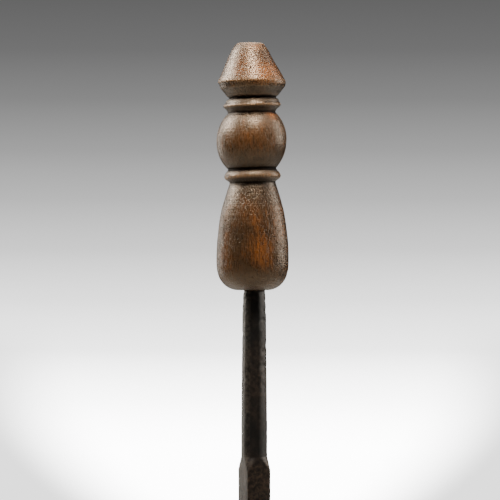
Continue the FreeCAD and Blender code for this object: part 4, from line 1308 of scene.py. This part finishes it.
# ---------------------------------------------------------------------------
# Tools
# ---------------------------------------------------------------------------
@dataclass
class Tool:
    """What every tool has: a matching handle and a washer.

    Attributes:
        body: The body that it rides on.
        hanger: Where it hangs.
        seed: Where its irregularities start.
    """

    body: str
    hanger: Hanger
    seed: float

    @property
    def handle(self) -> str:
        """Name the tool's handle."""
        return self.body + "_handle"

    @property
    def matrix(self) -> Matrix:
        """Give the way from the tool's millimetres to the row's metres."""
        return tool_matrix(self.handle, self.hanger.value)

    def drop(self, node: str, top: bool = False) -> float:
        """Give how far a node's foot, or its top, is below the handle's foot."""
        return drop_below(self.handle, node, top)

    def build(self) -> None:
        """Build the handle and its washer, then the rest of the tool."""
        Handle(self.handle, self.body, self.hanger.value, seed=self.seed,
               lean=0.014 + 0.004 * (self.seed % 3), lean_azimuth=self.seed * 77.0).build()
        PeenWasher(self.body + "_washer", self.body, self.handle).build()
        self.build_pieces()

    def build_pieces(self) -> None:
        """Build what is the tool's own."""
        raise NotImplementedError


@dataclass
class Poker(Tool):
    """Square bar drawn to a point, with a hooked spur welded to its outer side.

    Attributes:
        taper: Length of the point.
    """

    taper: float = 60.0

    def build_pieces(self) -> None:
        """Forge the poker."""
        end = self.drop("poker_shank")
        start = end - self.taper
        blank = Blank("poker_forging")
        stem = Stem(end=start, seed=self.seed, **TOOL_STEM)
        half = stem.side / 2
        stem.draw(blank)
        lower = Blank("point")
        sections = []
        for index in range(9):
            share = index / 8
            wide = half * (1 - share ** 1.25) + 0.9 * share ** 1.25 + 0.22
            sections.append(Ring(Vector((0, 0, -start + 2 - (self.taper + 2) * share)),
                                 (wide, wide), wide * 0.12))
        lower.sweep(sections)
        spur = []
        for turn_degrees in range(-8, 171, 12):
            turn = math.radians(turn_degrees)
            share = (turn_degrees + 8) / 178
            radius = 8.6 + 1.2 * share
            centre = Vector((half + 6.9, 0, -start + 12.5))
            point = centre + Vector((-radius * math.cos(turn) * 0.95, 0, -radius * math.sin(turn)))
            along = Vector((radius * math.sin(turn), 0, -radius * math.cos(turn))).normalized()
            slim = 3.6 * (1 - share) ** 0.8 + 0.8
            spur.append(Ring(point, (2.9 * (1 - 0.6 * share), slim * 0.62), 0.5, along, ACROSS))
        lower.sweep(spur)
        lower.forge(0.6, 3)
        lower.hammer(0.14, 5.0, self.seed + 3)
        blank.take(lower)
        blank.finish(FORGED, self.matrix, self.body, "poker_shank", gain=2.2)


@dataclass
class Shovel(Tool):
    """Sheet pan with raised, rolled walls, riveted to a flat tongue.

    Attributes:
        tongue_wide, tongue_thick: Section of the tongue.
        wall: How far from the sheet's edge the wall starts to rise.
        corner: Radius of the pan's two upper corners.
        sheet: Thickness of the sheet.
        back: Distance from the tool's axis to the back of the sheet.
        head: Radius of a rivet's head.
    """

    tongue_wide: float = 13.0
    tongue_thick: float = 4.0
    wall: float = 5.5
    corner: float = 22.0
    sheet: float = 1.7
    back: float = 4.3
    head: float = 3.8

    def build_pieces(self) -> None:
        """Forge the shank, shape the pan and set the rivets."""
        self.build_shank()
        self.build_pan()
        self.build_rivets()

    def build_shank(self) -> bpy.types.Object:
        """Forge the shank, flattened at its end into a tongue."""
        tip = self.drop("shovel_shank")
        start = tip - 46.0
        stem = Stem(end=start - 8, seed=self.seed, **TOOL_STEM)
        half = stem.side / 2
        blank = Blank("shovel_forging")
        stem.draw(blank)
        tongue = Blank("tongue")
        sections = []
        for drop, wide, thick in (
            (start - 10, half, half), (start - 4, half, half), (start + 2, half * 1.1, half * 0.85),
            (start + 8, self.tongue_wide * 0.46, self.tongue_thick / 2 * 1.1),
            (start + 13, self.tongue_wide / 2, self.tongue_thick / 2),
            (tip - 8, self.tongue_wide / 2, self.tongue_thick / 2 * 0.9),
            (tip - 4, self.tongue_wide * 0.43, self.tongue_thick / 2 * 0.85),
            (tip - 1.2, self.tongue_wide * 0.28, self.tongue_thick / 2 * 0.75),
            (tip, self.tongue_wide * 0.14, self.tongue_thick / 2 * 0.6),
        ):
            sections.append(Ring(Vector((half - thick, 0, -drop)), (thick, wide), 0.6))
        tongue.sweep(sections)
        tongue.forge(0.6, 3)
        tongue.hammer(0.16, 5.0, self.seed + 2)
        blank.take(tongue)
        return blank.finish(FORGED, self.matrix, self.body, "shovel_shank", gain=2.2)

    def half_at(self, drop: float, half: float) -> float:
        """Give the half width of the pan's straight sides, which is half at the mouth."""
        return half - 3.0 * (1 - min(drop / 100, 1.0))

    def edge_distance(self, across: float, drop: float, half: float) -> float:
        """Give how far a point of the pan lies inside its top and side edges.

        Args:
            across: Distance from the pan's middle line.
            drop: Distance below the pan's upper edge.
            half: Half width of the pan at its mouth.
        """
        inner_x = abs(across) - (half - 3.0 - self.corner)
        inner_z = self.corner - drop
        if inner_x > 0 and inner_z > 0:
            return self.corner - math.hypot(inner_x, inner_z)
        return min(self.half_at(drop, half) - abs(across), drop)

    def build_pan(self) -> bpy.types.Object:
        """Raise the pan from a flat sheet, roll its edge and dent it."""
        low, high = box_mm("shovel_pan")
        foot = box_mm(self.handle)[0].z
        half = (high.y - low.y) / 2 - 0.6
        deep = high.x - low.x
        top_z, mouth_z = high.z - foot, low.z - foot
        long = top_z - mouth_z
        pan = Blank("shovel_pan_sheet")
        bmesh.ops.create_grid(pan.mesh, x_segments=72, y_segments=92, size=1.0)
        for vert in pan.mesh.verts:
            across_share = vert.co.x
            drop = long * ((vert.co.y + 1) / 2) ** 1.35
            spread = math.sin(across_share * math.pi / 2) * 0.35 + across_share * 0.65
            reach = self.corner
            limit = self.half_at(drop, half)
            if drop < reach:
                limit = half - 3.0 - reach + math.sqrt(max(reach ** 2 - (reach - drop) ** 2, 0.0))
            across = spread * limit
            distance = max(self.edge_distance(across, drop, half), 0.0)
            depth = deep * (1 - 0.62 * ease(drop, long * 0.18, long * 1.02)) - 1.0
            wall = (1 - min(distance / self.wall, 1.0)) ** 1.55
            dish = 0.8 * ease(distance, self.wall, 34)
            dent = 0.45 * noise.noise(Vector((across / 19, drop / 23, self.seed)))
            dent += 0.10 * noise.noise(Vector((across / 5, drop / 6, self.seed)))
            vert.co = Vector((self.back + self.sheet / 2 + depth * wall + 0.8 - dish
                              + dent * (1 - wall), across, top_z - drop))
        pan.face_outwards()
        rim = [vert.co.copy() for vert in self.ordered_rim(pan, mouth_z)]
        bmesh.ops.solidify(pan.mesh, geom=pan.mesh.faces[:], thickness=self.sheet)
        self.roll_edge(pan, rim)
        return pan.finish(SHEET, self.matrix, self.body, "shovel_pan", blur=2, gain=2.0)

    def ordered_rim(self, pan: Blank, mouth_z: float) -> list[bmesh.types.BMVert]:
        """List the sheet's free edge from one corner of the mouth round to the other."""
        free = [vert for vert in pan.mesh.verts if vert.is_boundary]
        start = min(free, key=lambda vert: (abs(vert.co.z - mouth_z) > 0.5, vert.co.y))
        chain = [start]
        seen = {start}
        while True:
            options = [
                edge.other_vert(chain[-1]) for edge in chain[-1].link_edges
                if edge.is_boundary and edge.other_vert(chain[-1]) not in seen
            ]
            options = [vert for vert in options
                       if vert.co.z > mouth_z + 0.2 or len(chain) > 3 and vert.co.y > 0]
            if not options:
                return chain
            following = max(options, key=lambda vert: vert.co.z) if len(chain) == 1 else options[0]
            if len(chain) > 3 and following.co.z < mouth_z + 0.2:
                return chain
            chain.append(following)
            seen.add(following)

    def roll_edge(self, pan: Blank, rim: list[Vector]) -> None:
        """Lay a rolled bead along the walls' free edge."""
        rings = []
        for index, point in enumerate(rim):
            along = rim[min(index + 1, len(rim) - 1)] - rim[max(index - 1, 0)]
            if along.length < 1e-4:
                continue
            along.normalize()
            side = along.cross(OUT)
            side = side.normalized() if side.length > 1e-4 else ACROSS
            rings.append(Ring(point + OUT * 0.2, (1.35, 1.35), 0.79, along, side))
        pan.sweep(rings)

    def build_rivets(self) -> bpy.types.Object:
        """Set the two rivets through tongue and pan."""
        low, high = box_mm("shovel_rivets")
        handle_low, handle_high = box_mm(self.handle)
        foot = handle_low.z
        axis_x = (handle_low.x + handle_high.x) / 2
        inner, outer = low.x - axis_x, high.x - axis_x
        heads = []
        shanks = []
        for height in (low.z + self.head - foot, high.z - self.head - foot):
            rise = UP * height
            heads.append((rise + OUT * (outer - 1.9), OUT, self.head, 2.0))
            heads.append((rise + OUT * (inner + 1.9), -OUT, self.head, 2.0))
            shanks.append((rise + OUT * (inner + 1.5), rise + OUT * (outer - 1.5), 2.0))
        return Rivets("shovel_rivets", self.body, self.handle, self.hanger.value,
                      heads, shanks).build()


@dataclass
class Brush(Tool):
    """Turned stock on the shank, pinned, with a flared bundle of bristles.

    Attributes:
        strands: How many strands are planted.
    """

    strands: int = 1500

    def build_pieces(self) -> None:
        """Forge the shank, turn the stock, set the pin and plant the bristles."""
        stock_top = self.drop("brush_stock", top=True)
        stock_foot = self.drop("brush_stock")
        blank = Blank("brush_forging")
        Stem(end=stock_top, seed=self.seed, **TOOL_STEM).draw(blank)
        tenon = Blank("tenon")
        end = self.drop("brush_shank")
        tenon.lathe([(0.0, -stock_top + 1), (3.5, -stock_top + 1), (3.5, -end), (0.0, -end)], 24)
        blank.take(tenon)
        blank.finish(FORGED, self.matrix, self.body, "brush_shank", gain=2.2)
        self.build_stock(stock_top, stock_foot)
        self.build_pin()
        self.build_bristles(stock_foot, self.drop("brush_bristles"))

    def build_stock(self, top: float, foot: float) -> bpy.types.Object:
        """Turn the stock: collar, shoulder, belly and a grooved skirt."""
        outline = join_stretches(
            straight_to((3.6, -top), (8.0, -top), 1.0),
            smooth_through([(8.0, -top), (9.6, -top - 0.7), (10.1, -top - 1.9),
                            (9.4, -top - 3.1)], 0.5),
            smooth_through([(9.1, -top - 3.5), (11.6, -top - 4.7), (14.6, -top - 8.2),
                            (16.9, -top - 13.5), (17.9, -top - 19.5), (18.0, -foot + 10.6)], 0.8),
            smooth_through([(18.0, -foot + 10.2), (17.0, -foot + 9.5), (16.5, -foot + 8.6),
                            (17.0, -foot + 7.7), (18.0, -foot + 7.2)], 0.4),
            smooth_through([(18.0, -foot + 7.0), (18.2, -foot + 4.0), (17.9, -foot + 1.2),
                            (17.0, -foot)], 0.7),
            straight_to((16.6, -foot), (3.6, -foot), 1.6),
            straight_to((3.6, -foot), (3.6, -top), 8.0)[:-1],
        )
        blank = Blank("brush_stock_turning")
        blank.lathe(outline, 90, closed=True)
        seed = Vector((self.seed, 5.0, 2.0))
        blank.press(lambda point: 0.10 * noise.noise(point / 9 + seed)
                    + 0.03 * noise.noise(Vector((0, 0, point.z / 0.9))))
        return blank.finish(WOOD, self.matrix, self.body, "brush_stock", blur=3, gain=3.0)

    def build_pin(self) -> bpy.types.Object:
        """Drive the pin across the stock."""
        low, high = box_mm("brush_pin")
        height = (low.z + high.z) / 2 - box_mm(self.handle)[0].z
        reach = (high.x - low.x) / 2 + 1.6
        blank = Blank("brush_pin_rod")
        blank.lathe([(0.0, -reach), (1.1, -reach), (1.5, -reach + 0.4), (1.5, reach - 0.4),
                     (1.1, reach), (0.0, reach)], 18)
        blank.place(Matrix.Translation(UP * height) @ Matrix.Rotation(math.pi / 2, 4, "X"))
        return blank.finish(RIVET, self.matrix, self.body, "brush_pin")

    def build_bristles(self, root: float, tip: float) -> None:
        """Plant the strands, and a core that fills the bundle behind them, dark as painted shade of
        the bundle's inside.
        """
        chance = random.Random(41)
        core = Blank("brush_bristle_shade_core")
        core.lathe(join_stretches(
            [(0.0, -root)], smooth_through([(15.0, -root), (16.0, -root - 22), (17.5, -root - 48),
                                            (15.0, -root - 60)], 3.0),
            [(0.0, -root - 62)]), 48)
        tone = core.mesh.verts.layers.float.new("tone")
        # The core takes the darkest tone: painted shade for the inside of the bundle.
        for vert in core.mesh.verts:
            vert[tone] = 0.08
        core.finish(BRISTLE, self.matrix, self.body, relief=False)
        bundle = Blank("brush_bristle_strands")
        tone = bundle.mesh.verts.layers.float.new("tone")
        golden = math.pi * (3 - math.sqrt(5))
        for order in range(self.strands):
            share = math.sqrt((order + 0.5) / self.strands)
            turn = order * golden + chance.uniform(-0.2, 0.2)
            start = 15.9 * share
            flare = 24.0 * share + chance.uniform(-1.6, 1.6)
            length = tip - root - 1.5 - chance.uniform(0.0, 5.0) - 4.0 * share ** 3
            bend = chance.uniform(-0.05, 0.05)
            thick = chance.uniform(0.38, 0.55)
            tint = chance.betavariate(2.0, 2.6)
            rings = []
            for step in range(5):
                along = step / 4
                radius = start + (flare - start) * along ** 1.4
                angle = turn + bend * along ** 2
                point = Vector((radius * math.cos(angle), radius * math.sin(angle),
                                -root + 1.0 - (length + 1.0) * along))
                rings.append((point, thick * (1 - 0.45 * along), along))
            self.strand(bundle, tone, rings, tint)
        bundle.finish(BRISTLE, self.matrix, self.body, "brush_bristles", relief=False)

    def strand(self, bundle: Blank, tone: bmesh.types.BMLayerItem,
               rings: list[tuple[Vector, float, float]], tint: float) -> None:
        """Draw one three-sided strand.

        Args:
            bundle: The blank to add it to.
            tone: The layer that holds each point's tone.
            rings: Centre, radius and share of the length at each section.
            tint: The strand's own tone.
        """
        verts: list[bmesh.types.BMVert] = []
        for point, radius, share in rings:
            fresh = [
                bundle.mesh.verts.new(point + radius * Vector((math.cos(turn), math.sin(turn), 0)))
                for turn in (0.0, 2.094, 4.189)
            ]
            for vert in fresh:
                vert[tone] = (0.15 + 0.85 * tint) * (0.25 + 0.75 * share)
            if verts:
                for a, b in ((0, 1), (1, 2), (2, 0)):
                    bundle.mesh.faces.new((verts[a], verts[b], fresh[b], fresh[a]))
            else:
                bundle.mesh.faces.new(fresh)
            verts = fresh
        bundle.mesh.faces.new(reversed(verts))


@dataclass
class Tongs(Tool):
    """Shank with a fixed arm, and an arm that swings on a rivet.

    Attributes:
        eye_radius: Radius of the round eye at the pivot.
        half_wide: Half the width of the shank there.
        gap: Clearance between the two arms.
        disc_radius, disc_thick: Size of the grip discs.
    """

    eye_radius: float = 8.0
    half_wide: float = 4.3
    gap: float = 0.2
    disc_radius: float = 13.0
    disc_thick: float = 3.5

    def build_pieces(self) -> None:
        """Forge both arms, set the rivet and its washers."""
        low, high = box_mm("tongs_pivot_rivet")
        pivot = box_mm(self.handle)[0].z - (low.z + high.z) / 2
        tip = self.drop("tongs_moving_arm")
        blank = Blank("tongs_forging")
        Stem(end=pivot - self.eye_radius - 1.5, seed=self.seed, **TOOL_STEM).draw(blank)
        fixed = self.arm(pivot, tip, -1)
        fixed.sweep([
            Ring(Vector((0, 0, -pivot + self.eye_radius + rise)),
                 (self.half_wide, self.half_wide), 0.6)
            for rise in (3.5, 0.8, 0.0)
        ])
        fixed.sweep([
            Ring(Vector((-self.half_wide / 2 - self.gap / 2, 0, -pivot + rise)),
                 (self.half_wide / 2 - self.gap / 2, self.half_wide), 0.5)
            for rise in (self.eye_radius + 1.5, 0.0)
        ])
        fixed.forge(0.58, 3)
        fixed.hammer(0.13, 5.2, self.seed + 2)
        blank.take(fixed)
        blank.finish(FORGED, self.matrix, self.body, "tongs_shank", gain=2.2)
        moving = self.arm(pivot, tip, 1)
        moving.forge(0.58, 3)
        moving.hammer(0.13, 5.2, self.seed + 5)
        moving.name = "tongs_moving_forging"
        moving.finish(FORGED, self.matrix, "tongs_arm", "tongs_moving_arm", gain=2.2)
        self.build_rivet(pivot)

    def arm(self, pivot: float, tip: float, side: int) -> Blank:
        """Shape one arm: half-lapped eye, bowed bar and grip disc.

        Args:
            pivot: Drop of the pivot.
            tip: Drop of the disc's lower edge.
            side: -1 for the fixed arm, 1 for the moving one.
        """
        blank = Blank("arm")
        eye_half = self.half_wide / 2 - self.gap / 2
        eye_centre = side * (self.half_wide / 2 + self.gap / 2)
        blank.rod(self.eye_radius, eye_half * 2, Matrix.Translation((eye_centre, 0, -pivot))
                  @ Matrix.Rotation(math.pi / 2, 4, "Y"), 40)
        disc_drop = tip - self.disc_radius
        bend = smooth_through([
            (1.9, pivot + 3.0), (3.5, pivot + 9.5), (7.6, pivot + 22), (13.4, pivot + 37),
            (19.0, pivot + 54), (23.0, pivot + 73), (24.4, pivot + 90), (23.2, pivot + 108),
            (19.0, pivot + 127), (13.0, pivot + 144), (7.4, pivot + 158),
            (self.gap + self.disc_thick + 0.9, disc_drop - 3),
            (self.gap + self.disc_thick + 0.2, disc_drop + 7),
        ], 3.0)
        rings = []
        for index, (across, drop) in enumerate(bend):
            before = bend[max(index - 1, 0)]
            after = bend[min(index + 1, len(bend) - 1)]
            along = Vector((0, side * (after[0] - before[0]), -(after[1] - before[1]))).normalized()
            slim = 1 - 0.25 * ease(drop, pivot + 100, disc_drop + 6)
            inside_lap = drop < pivot + self.eye_radius + 0.9
            half_x = eye_half if inside_lap else self.half_wide * slim
            centre_x = eye_centre if inside_lap else 0.0
            rings.append(Ring(Vector((centre_x, side * across, -drop)), (half_x, 2.5 * slim), 0.5,
                              along, OUT))
        blank.sweep(rings)
        centre_y = side * (self.gap + self.disc_thick / 2)
        blank.rod(self.disc_radius, self.disc_thick,
                  Matrix.Translation((0, centre_y, -disc_drop))
                  @ Matrix.Rotation(math.pi / 2, 4, "X"), 48)
        return blank

    def build_rivet(self, pivot: float) -> None:
        """Set the pivot rivet and its two washers."""
        reach = self.half_wide + 0.15
        rise = UP * -pivot
        heads = [(rise + OUT * side * (reach + 0.75), OUT * side, 4.6, 2.2) for side in (-1, 1)]
        Rivets("tongs_pivot_rivet", self.body, self.handle, self.hanger.value, heads,
               [(rise - OUT * reach, rise + OUT * reach, 2.45)]).build()
        washers = Blank("tongs_pivot_washer_pair")
        for side in (-1, 1):
            ring = Blank("ring")
            ring.lathe([(2.5, 0.05), (6.2, 0.05), (6.5, 0.3), (6.4, 0.6), (6.1, 0.8), (2.5, 0.8)],
                       40, closed=True)
            ring.place(facing(rise + OUT * side * reach, OUT * side))
            washers.take(ring)
        washers.finish(RIVET, self.matrix, self.body, "tongs_pivot_washers")


# ---------------------------------------------------------------------------
# Studio
# ---------------------------------------------------------------------------
@dataclass
class SoftBox:
    """An area light.

    Attributes:
        name: Its name.
        azimuth: Its direction from the object, in degrees, as a view's azimuth.
        elevation: Its height above the level, in degrees.
        distance: Its distance from the aim, in metres.
        size: Width and height in metres.
        power: Watts.
    """

    name: str
    azimuth: float
    elevation: float
    distance: float
    size: tuple[float, float]
    power: float


@dataclass
class Studio:
    """Pale floor, graded backdrop, soft boxes and a level camera.

    Attributes:
        aim_below_top: How far the camera's aim is below the top handle's crown.
        aim_left: How far the aim is to the left of the post.
        distance: Distance of the camera.
        view_width: Width of the view at the post.
        wall_radius: Radius of the round backdrop.
        cove_start: Radius at which the floor starts to brighten into it.
        sensor: Width of the camera's sensor.
        warmth: Colour of the lights.
        low_glow: The backdrop's brightness low down, away from the middle.
        grades: The backdrop's brightness, each (height, value), from low to high.
        boxes: The lights.
    """

    aim_below_top: float = 0.0964
    aim_left: float = 0.0020
    distance: float = 1.5
    view_width: float = 0.2315
    wall_radius: float = 2.4
    cove_start: float = 0.5
    sensor: float = 36.0
    warmth: tuple[float, float, float] = (1.0, 0.94, 0.85)
    low_glow: float = 2.15
    grades: tuple[tuple[float, float], ...] = (
        (0.22, 2.15), (0.285, 13.2), (0.345, 13.0), (0.372, 11.3), (0.403, 8.2), (0.463, 3.5),
        (0.523, 2.1), (0.584, 1.17), (0.644, 0.70), (0.704, 0.425), (0.765, 0.258),
        (0.825, 0.171), (0.885, 0.134),
    )
    boxes: tuple[SoftBox, ...] = (
        SoftBox("overhead", 0.0, 90.0, 0.80, (0.9, 0.9), 20.0),
        SoftBox("key", -12.0, 61.0, 1.05, (0.26, 0.26), 31.0),
        SoftBox("left_bank", -130.0, 35.0, 1.10, (0.6, 0.42), 31.0),
        SoftBox("left_rim", -163.0, 12.0, 1.20, (0.3, 1.1), 6.0),
        SoftBox("right_bank", 84.0, 18.0, 1.10, (0.4, 0.9), 12.0),
        SoftBox("back_fill", 158.0, 34.0, 1.60, (0.8, 0.8), 6.0),
    )

    def direction(self, azimuth: float, elevation: float = 0.0) -> Vector:
        """Give the unit vector from the object towards an azimuth and elevation."""
        turn, rise = math.radians(azimuth), math.radians(elevation)
        return Vector((math.sin(turn) * math.cos(rise), -math.cos(turn) * math.cos(rise),
                       math.sin(rise)))

    def build(self) -> None:
        """Build the studio."""
        self.build_camera()
        self.build_floor()
        self.build_cove()
        self.build_wall()
        self.build_lights()

    def build_camera(self) -> None:
        """Set the camera level, at the handle's height."""
        _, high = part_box("post_handle")
        toward = self.direction(VIEW_AZIMUTH)
        aim = UP * (high.z - self.aim_below_top) - heading(VIEW_AZIMUTH) * self.aim_left
        data = bpy.data.cameras.new("camera")
        data.sensor_width = self.sensor
        data.lens = self.sensor * self.distance / self.view_width
        data.clip_end = 60.0
        data.clip_start = 0.05
        camera = bpy.data.objects.new("camera", data)
        bpy.context.scene.collection.objects.link(camera)
        camera.location = aim + toward * self.distance
        camera.rotation_euler = (-toward).to_track_quat("-Z", "Y").to_euler()
        bpy.context.scene.camera = camera

    def build_floor(self) -> None:
        """Lay the floor."""
        mesh = bmesh.new()
        bmesh.ops.create_circle(mesh, cap_ends=True, segments=96, radius=self.wall_radius * 1.02)
        bmesh.ops.translate(mesh, verts=mesh.verts[:], vec=(0, 0, -0.0004))
        material, tree = new_material("matt_paper_floor")
        place = add_node(tree, "TexCoord").outputs["Object"]
        fleck = add_node(tree, "TexNoise", {"Scale": 40.0, "Detail": 2.0}, {"Vector": place})
        tone = add_node(tree, "ValToRGB", {"stops": [
            (0.2, linear("#c9c9c6")), (0.8, linear("#d2d2cf"))]}, {"Fac": fleck})
        paper = add_node(tree, "BsdfPrincipled", {"Roughness": 0.8}, {"Base Color": tone})
        self.stage_piece("floor", mesh, material, paper, glows=False)

    def build_cove(self) -> None:
        """Let the floor's far part glow brighter into the backdrop, so that no horizon shows; the
        glow is painted light, seen by the camera alone.
        """
        mesh = bmesh.new()
        bmesh.ops.create_circle(mesh, cap_ends=True, segments=96, radius=self.wall_radius)
        bmesh.ops.translate(mesh, verts=mesh.verts[:], vec=(0, 0, -0.0002))
        material, tree = new_material("glowing_floor_cove")
        place = add_node(tree, "TexCoord").outputs["Object"]
        radius = add_node(tree, "VectorMath", {"operation": "LENGTH"}, {0: place})
        share = add_node(tree, "MapRange", {
            "interpolation_type": "SMOOTHSTEP", "From Min": self.cove_start,
            "From Max": self.wall_radius}, {"Value": radius})
        clear = add_node(tree, "BsdfTransparent")
        glow = add_node(tree, "Emission", {"Strength": self.low_glow})
        rising = add_node(tree, "MixShader", {}, {0: share, 1: clear, 2: glow})
        self.stage_piece("cove", mesh, material, rising, glows=True)

    def build_wall(self) -> None:
        """Stand the round backdrop, which glows for the camera alone, graded from white below to
        grey above as painted light.
        """
        mesh = bmesh.new()
        bmesh.ops.create_circle(mesh, cap_ends=False, segments=128, radius=self.wall_radius)
        bmesh.ops.translate(mesh, verts=mesh.verts[:], vec=(0, 0, -0.3))
        grown = bmesh.ops.extrude_edge_only(mesh, edges=mesh.edges[:])["geom"]
        upper = [item for item in grown if isinstance(item, bmesh.types.BMVert)]
        bmesh.ops.translate(mesh, verts=upper, vec=(0, 0, 6.0))
        bmesh.ops.recalc_face_normals(mesh, faces=mesh.faces[:])
        for face in mesh.faces:
            if face.normal.dot(face.calc_center_median() * Vector((1, 1, 0))) > 0:
                face.normal_flip()
        material, tree = new_material("graded_glowing_backdrop")
        node = partial(add_node, tree)
        place = node("TexCoord").outputs["Object"]
        height = node("SeparateXYZ", {}, {0: place}).outputs["Z"]
        strongest = max(value for _, value in self.grades)
        grade = node("ValToRGB", {"stops": [
            (level, (value / strongest,) * 3 + (1.0,)) for level, value in self.grades]},
            {"Fac": height})
        # Low down, the white narrows towards the middle and leaves the corners duller, as a painted
        # pool of light.
        across = node("VectorMath", {"operation": "DOT_PRODUCT", 1: heading(VIEW_AZIMUTH)},
                      {0: place})
        aside = node("Math", {"operation": "ABSOLUTE"}, {0: across})
        below = node("Math", {"operation": "SUBTRACT", 0: 0.463, "use_clamp": True}, {1: height})
        narrowing = node("Math", {"operation": "POWER", 1: 2.0}, {0: below})
        outwards = node("Math", {"operation": "MULTIPLY_ADD", 1: 3.57}, {0: narrowing, 2: aside})
        corner = node("MapRange", {"interpolation_type": "SMOOTHSTEP", "From Min": 0.203,
                                   "From Max": 0.353}, {"Value": outwards})
        only_low = node("MapRange", {"interpolation_type": "SMOOTHSTEP", "From Min": 0.53,
                                     "From Max": 0.44}, {"Value": height})
        dull = node("Math", {"operation": "MULTIPLY"}, {0: corner, 1: only_low})
        graded = node("Mix", {
            "data_type": "RGBA", Mix.B.value: (self.low_glow / strongest,) * 3 + (1.0,)},
            {0: dull, Mix.A.value: grade})
        glow = node("Emission", {"Strength": strongest}, {"Color": graded})
        self.stage_piece("backdrop", mesh, material, glow, glows=True)

    def stage_piece(self, name: str, mesh: bmesh.types.BMesh, material: bpy.types.Material,
                    front: bpy.types.Node, glows: bool) -> None:
        """Turn a mesh into a piece of the stage that shows its front only.

        Args:
            name: The piece's name.
            mesh: Its mesh, which is used up.
            material: Its material, as far as the front's shader.
            front: That shader.
            glows: Whether it glows for the camera alone, and lights and shades nothing.
        """
        side = add_node(material.node_tree, "NewGeometry").outputs["Backfacing"]
        clear = add_node(material.node_tree, "BsdfTransparent")
        mixed = add_node(material.node_tree, "MixShader", {}, {0: side, 1: front, 2: clear})
        add_node(material.node_tree, "OutputMaterial", {}, {"Surface": mixed})
        data = bpy.data.meshes.new(name)
        mesh.to_mesh(data)
        mesh.free()
        data.materials.append(material)
        item = bpy.data.objects.new(name, data)
        bpy.context.scene.collection.objects.link(item)
        if glows:
            item.visible_diffuse = item.visible_glossy = item.visible_shadow = False

    def build_lights(self) -> None:
        """Hang the soft boxes, and light the room a little from above."""
        _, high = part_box("post_handle")
        aim = UP * (high.z - self.aim_below_top)
        for box in self.boxes:
            data = bpy.data.lights.new(box.name, "AREA")
            data.shape = "RECTANGLE"
            data.size, data.size_y = box.size
            data.energy = box.power
            data.color = self.warmth
            light = bpy.data.objects.new(box.name, data)
            bpy.context.scene.collection.objects.link(light)
            way = self.direction(box.azimuth, box.elevation)
            light.location = aim + way * box.distance
            light.rotation_euler = way.to_track_quat("Z", "Y").to_euler()
        world = bpy.data.worlds.new("room")
        bpy.context.scene.world = world
        world.use_nodes = True
        tree = world.node_tree
        tree.nodes.clear()
        place = add_node(tree, "TexCoord").outputs["Generated"]
        height = add_node(tree, "SeparateXYZ", {}, {0: place}).outputs["Z"]
        rise = add_node(tree, "MapRange", {"From Min": -1.0}, {"Value": height})
        grade = add_node(tree, "ValToRGB", {"stops": [
            (0.0, linear("#303030")), (0.45, linear("#202020")), (0.6, linear("#3a3a3a")),
            (1.0, linear("#a0a0a0"))]}, {"Fac": rise})
        glow = add_node(tree, "Background", {"Strength": 0.6}, {"Color": grade})
        add_node(tree, "OutputWorld", {}, {"Surface": glow})


def main() -> None:
    """Build the finishes, the set and the studio."""
    logging.basicConfig(level=logging.INFO, format="%(name)s %(message)s")
    for finish in FINISHES:
        MATERIALS[finish.name] = finish.material()
    Studio().build()
    Stand().build()
    for tool in (
        Poker("poker", Hanger.FRONT, 3.0), Shovel("shovel", Hanger.RIGHT, 4.0),
        Brush("brush", Hanger.BACK, 5.0), Tongs("tongs", Hanger.LEFT, 6.0),
    ):
        tool.build()


if __name__ == "__main__":
    main()
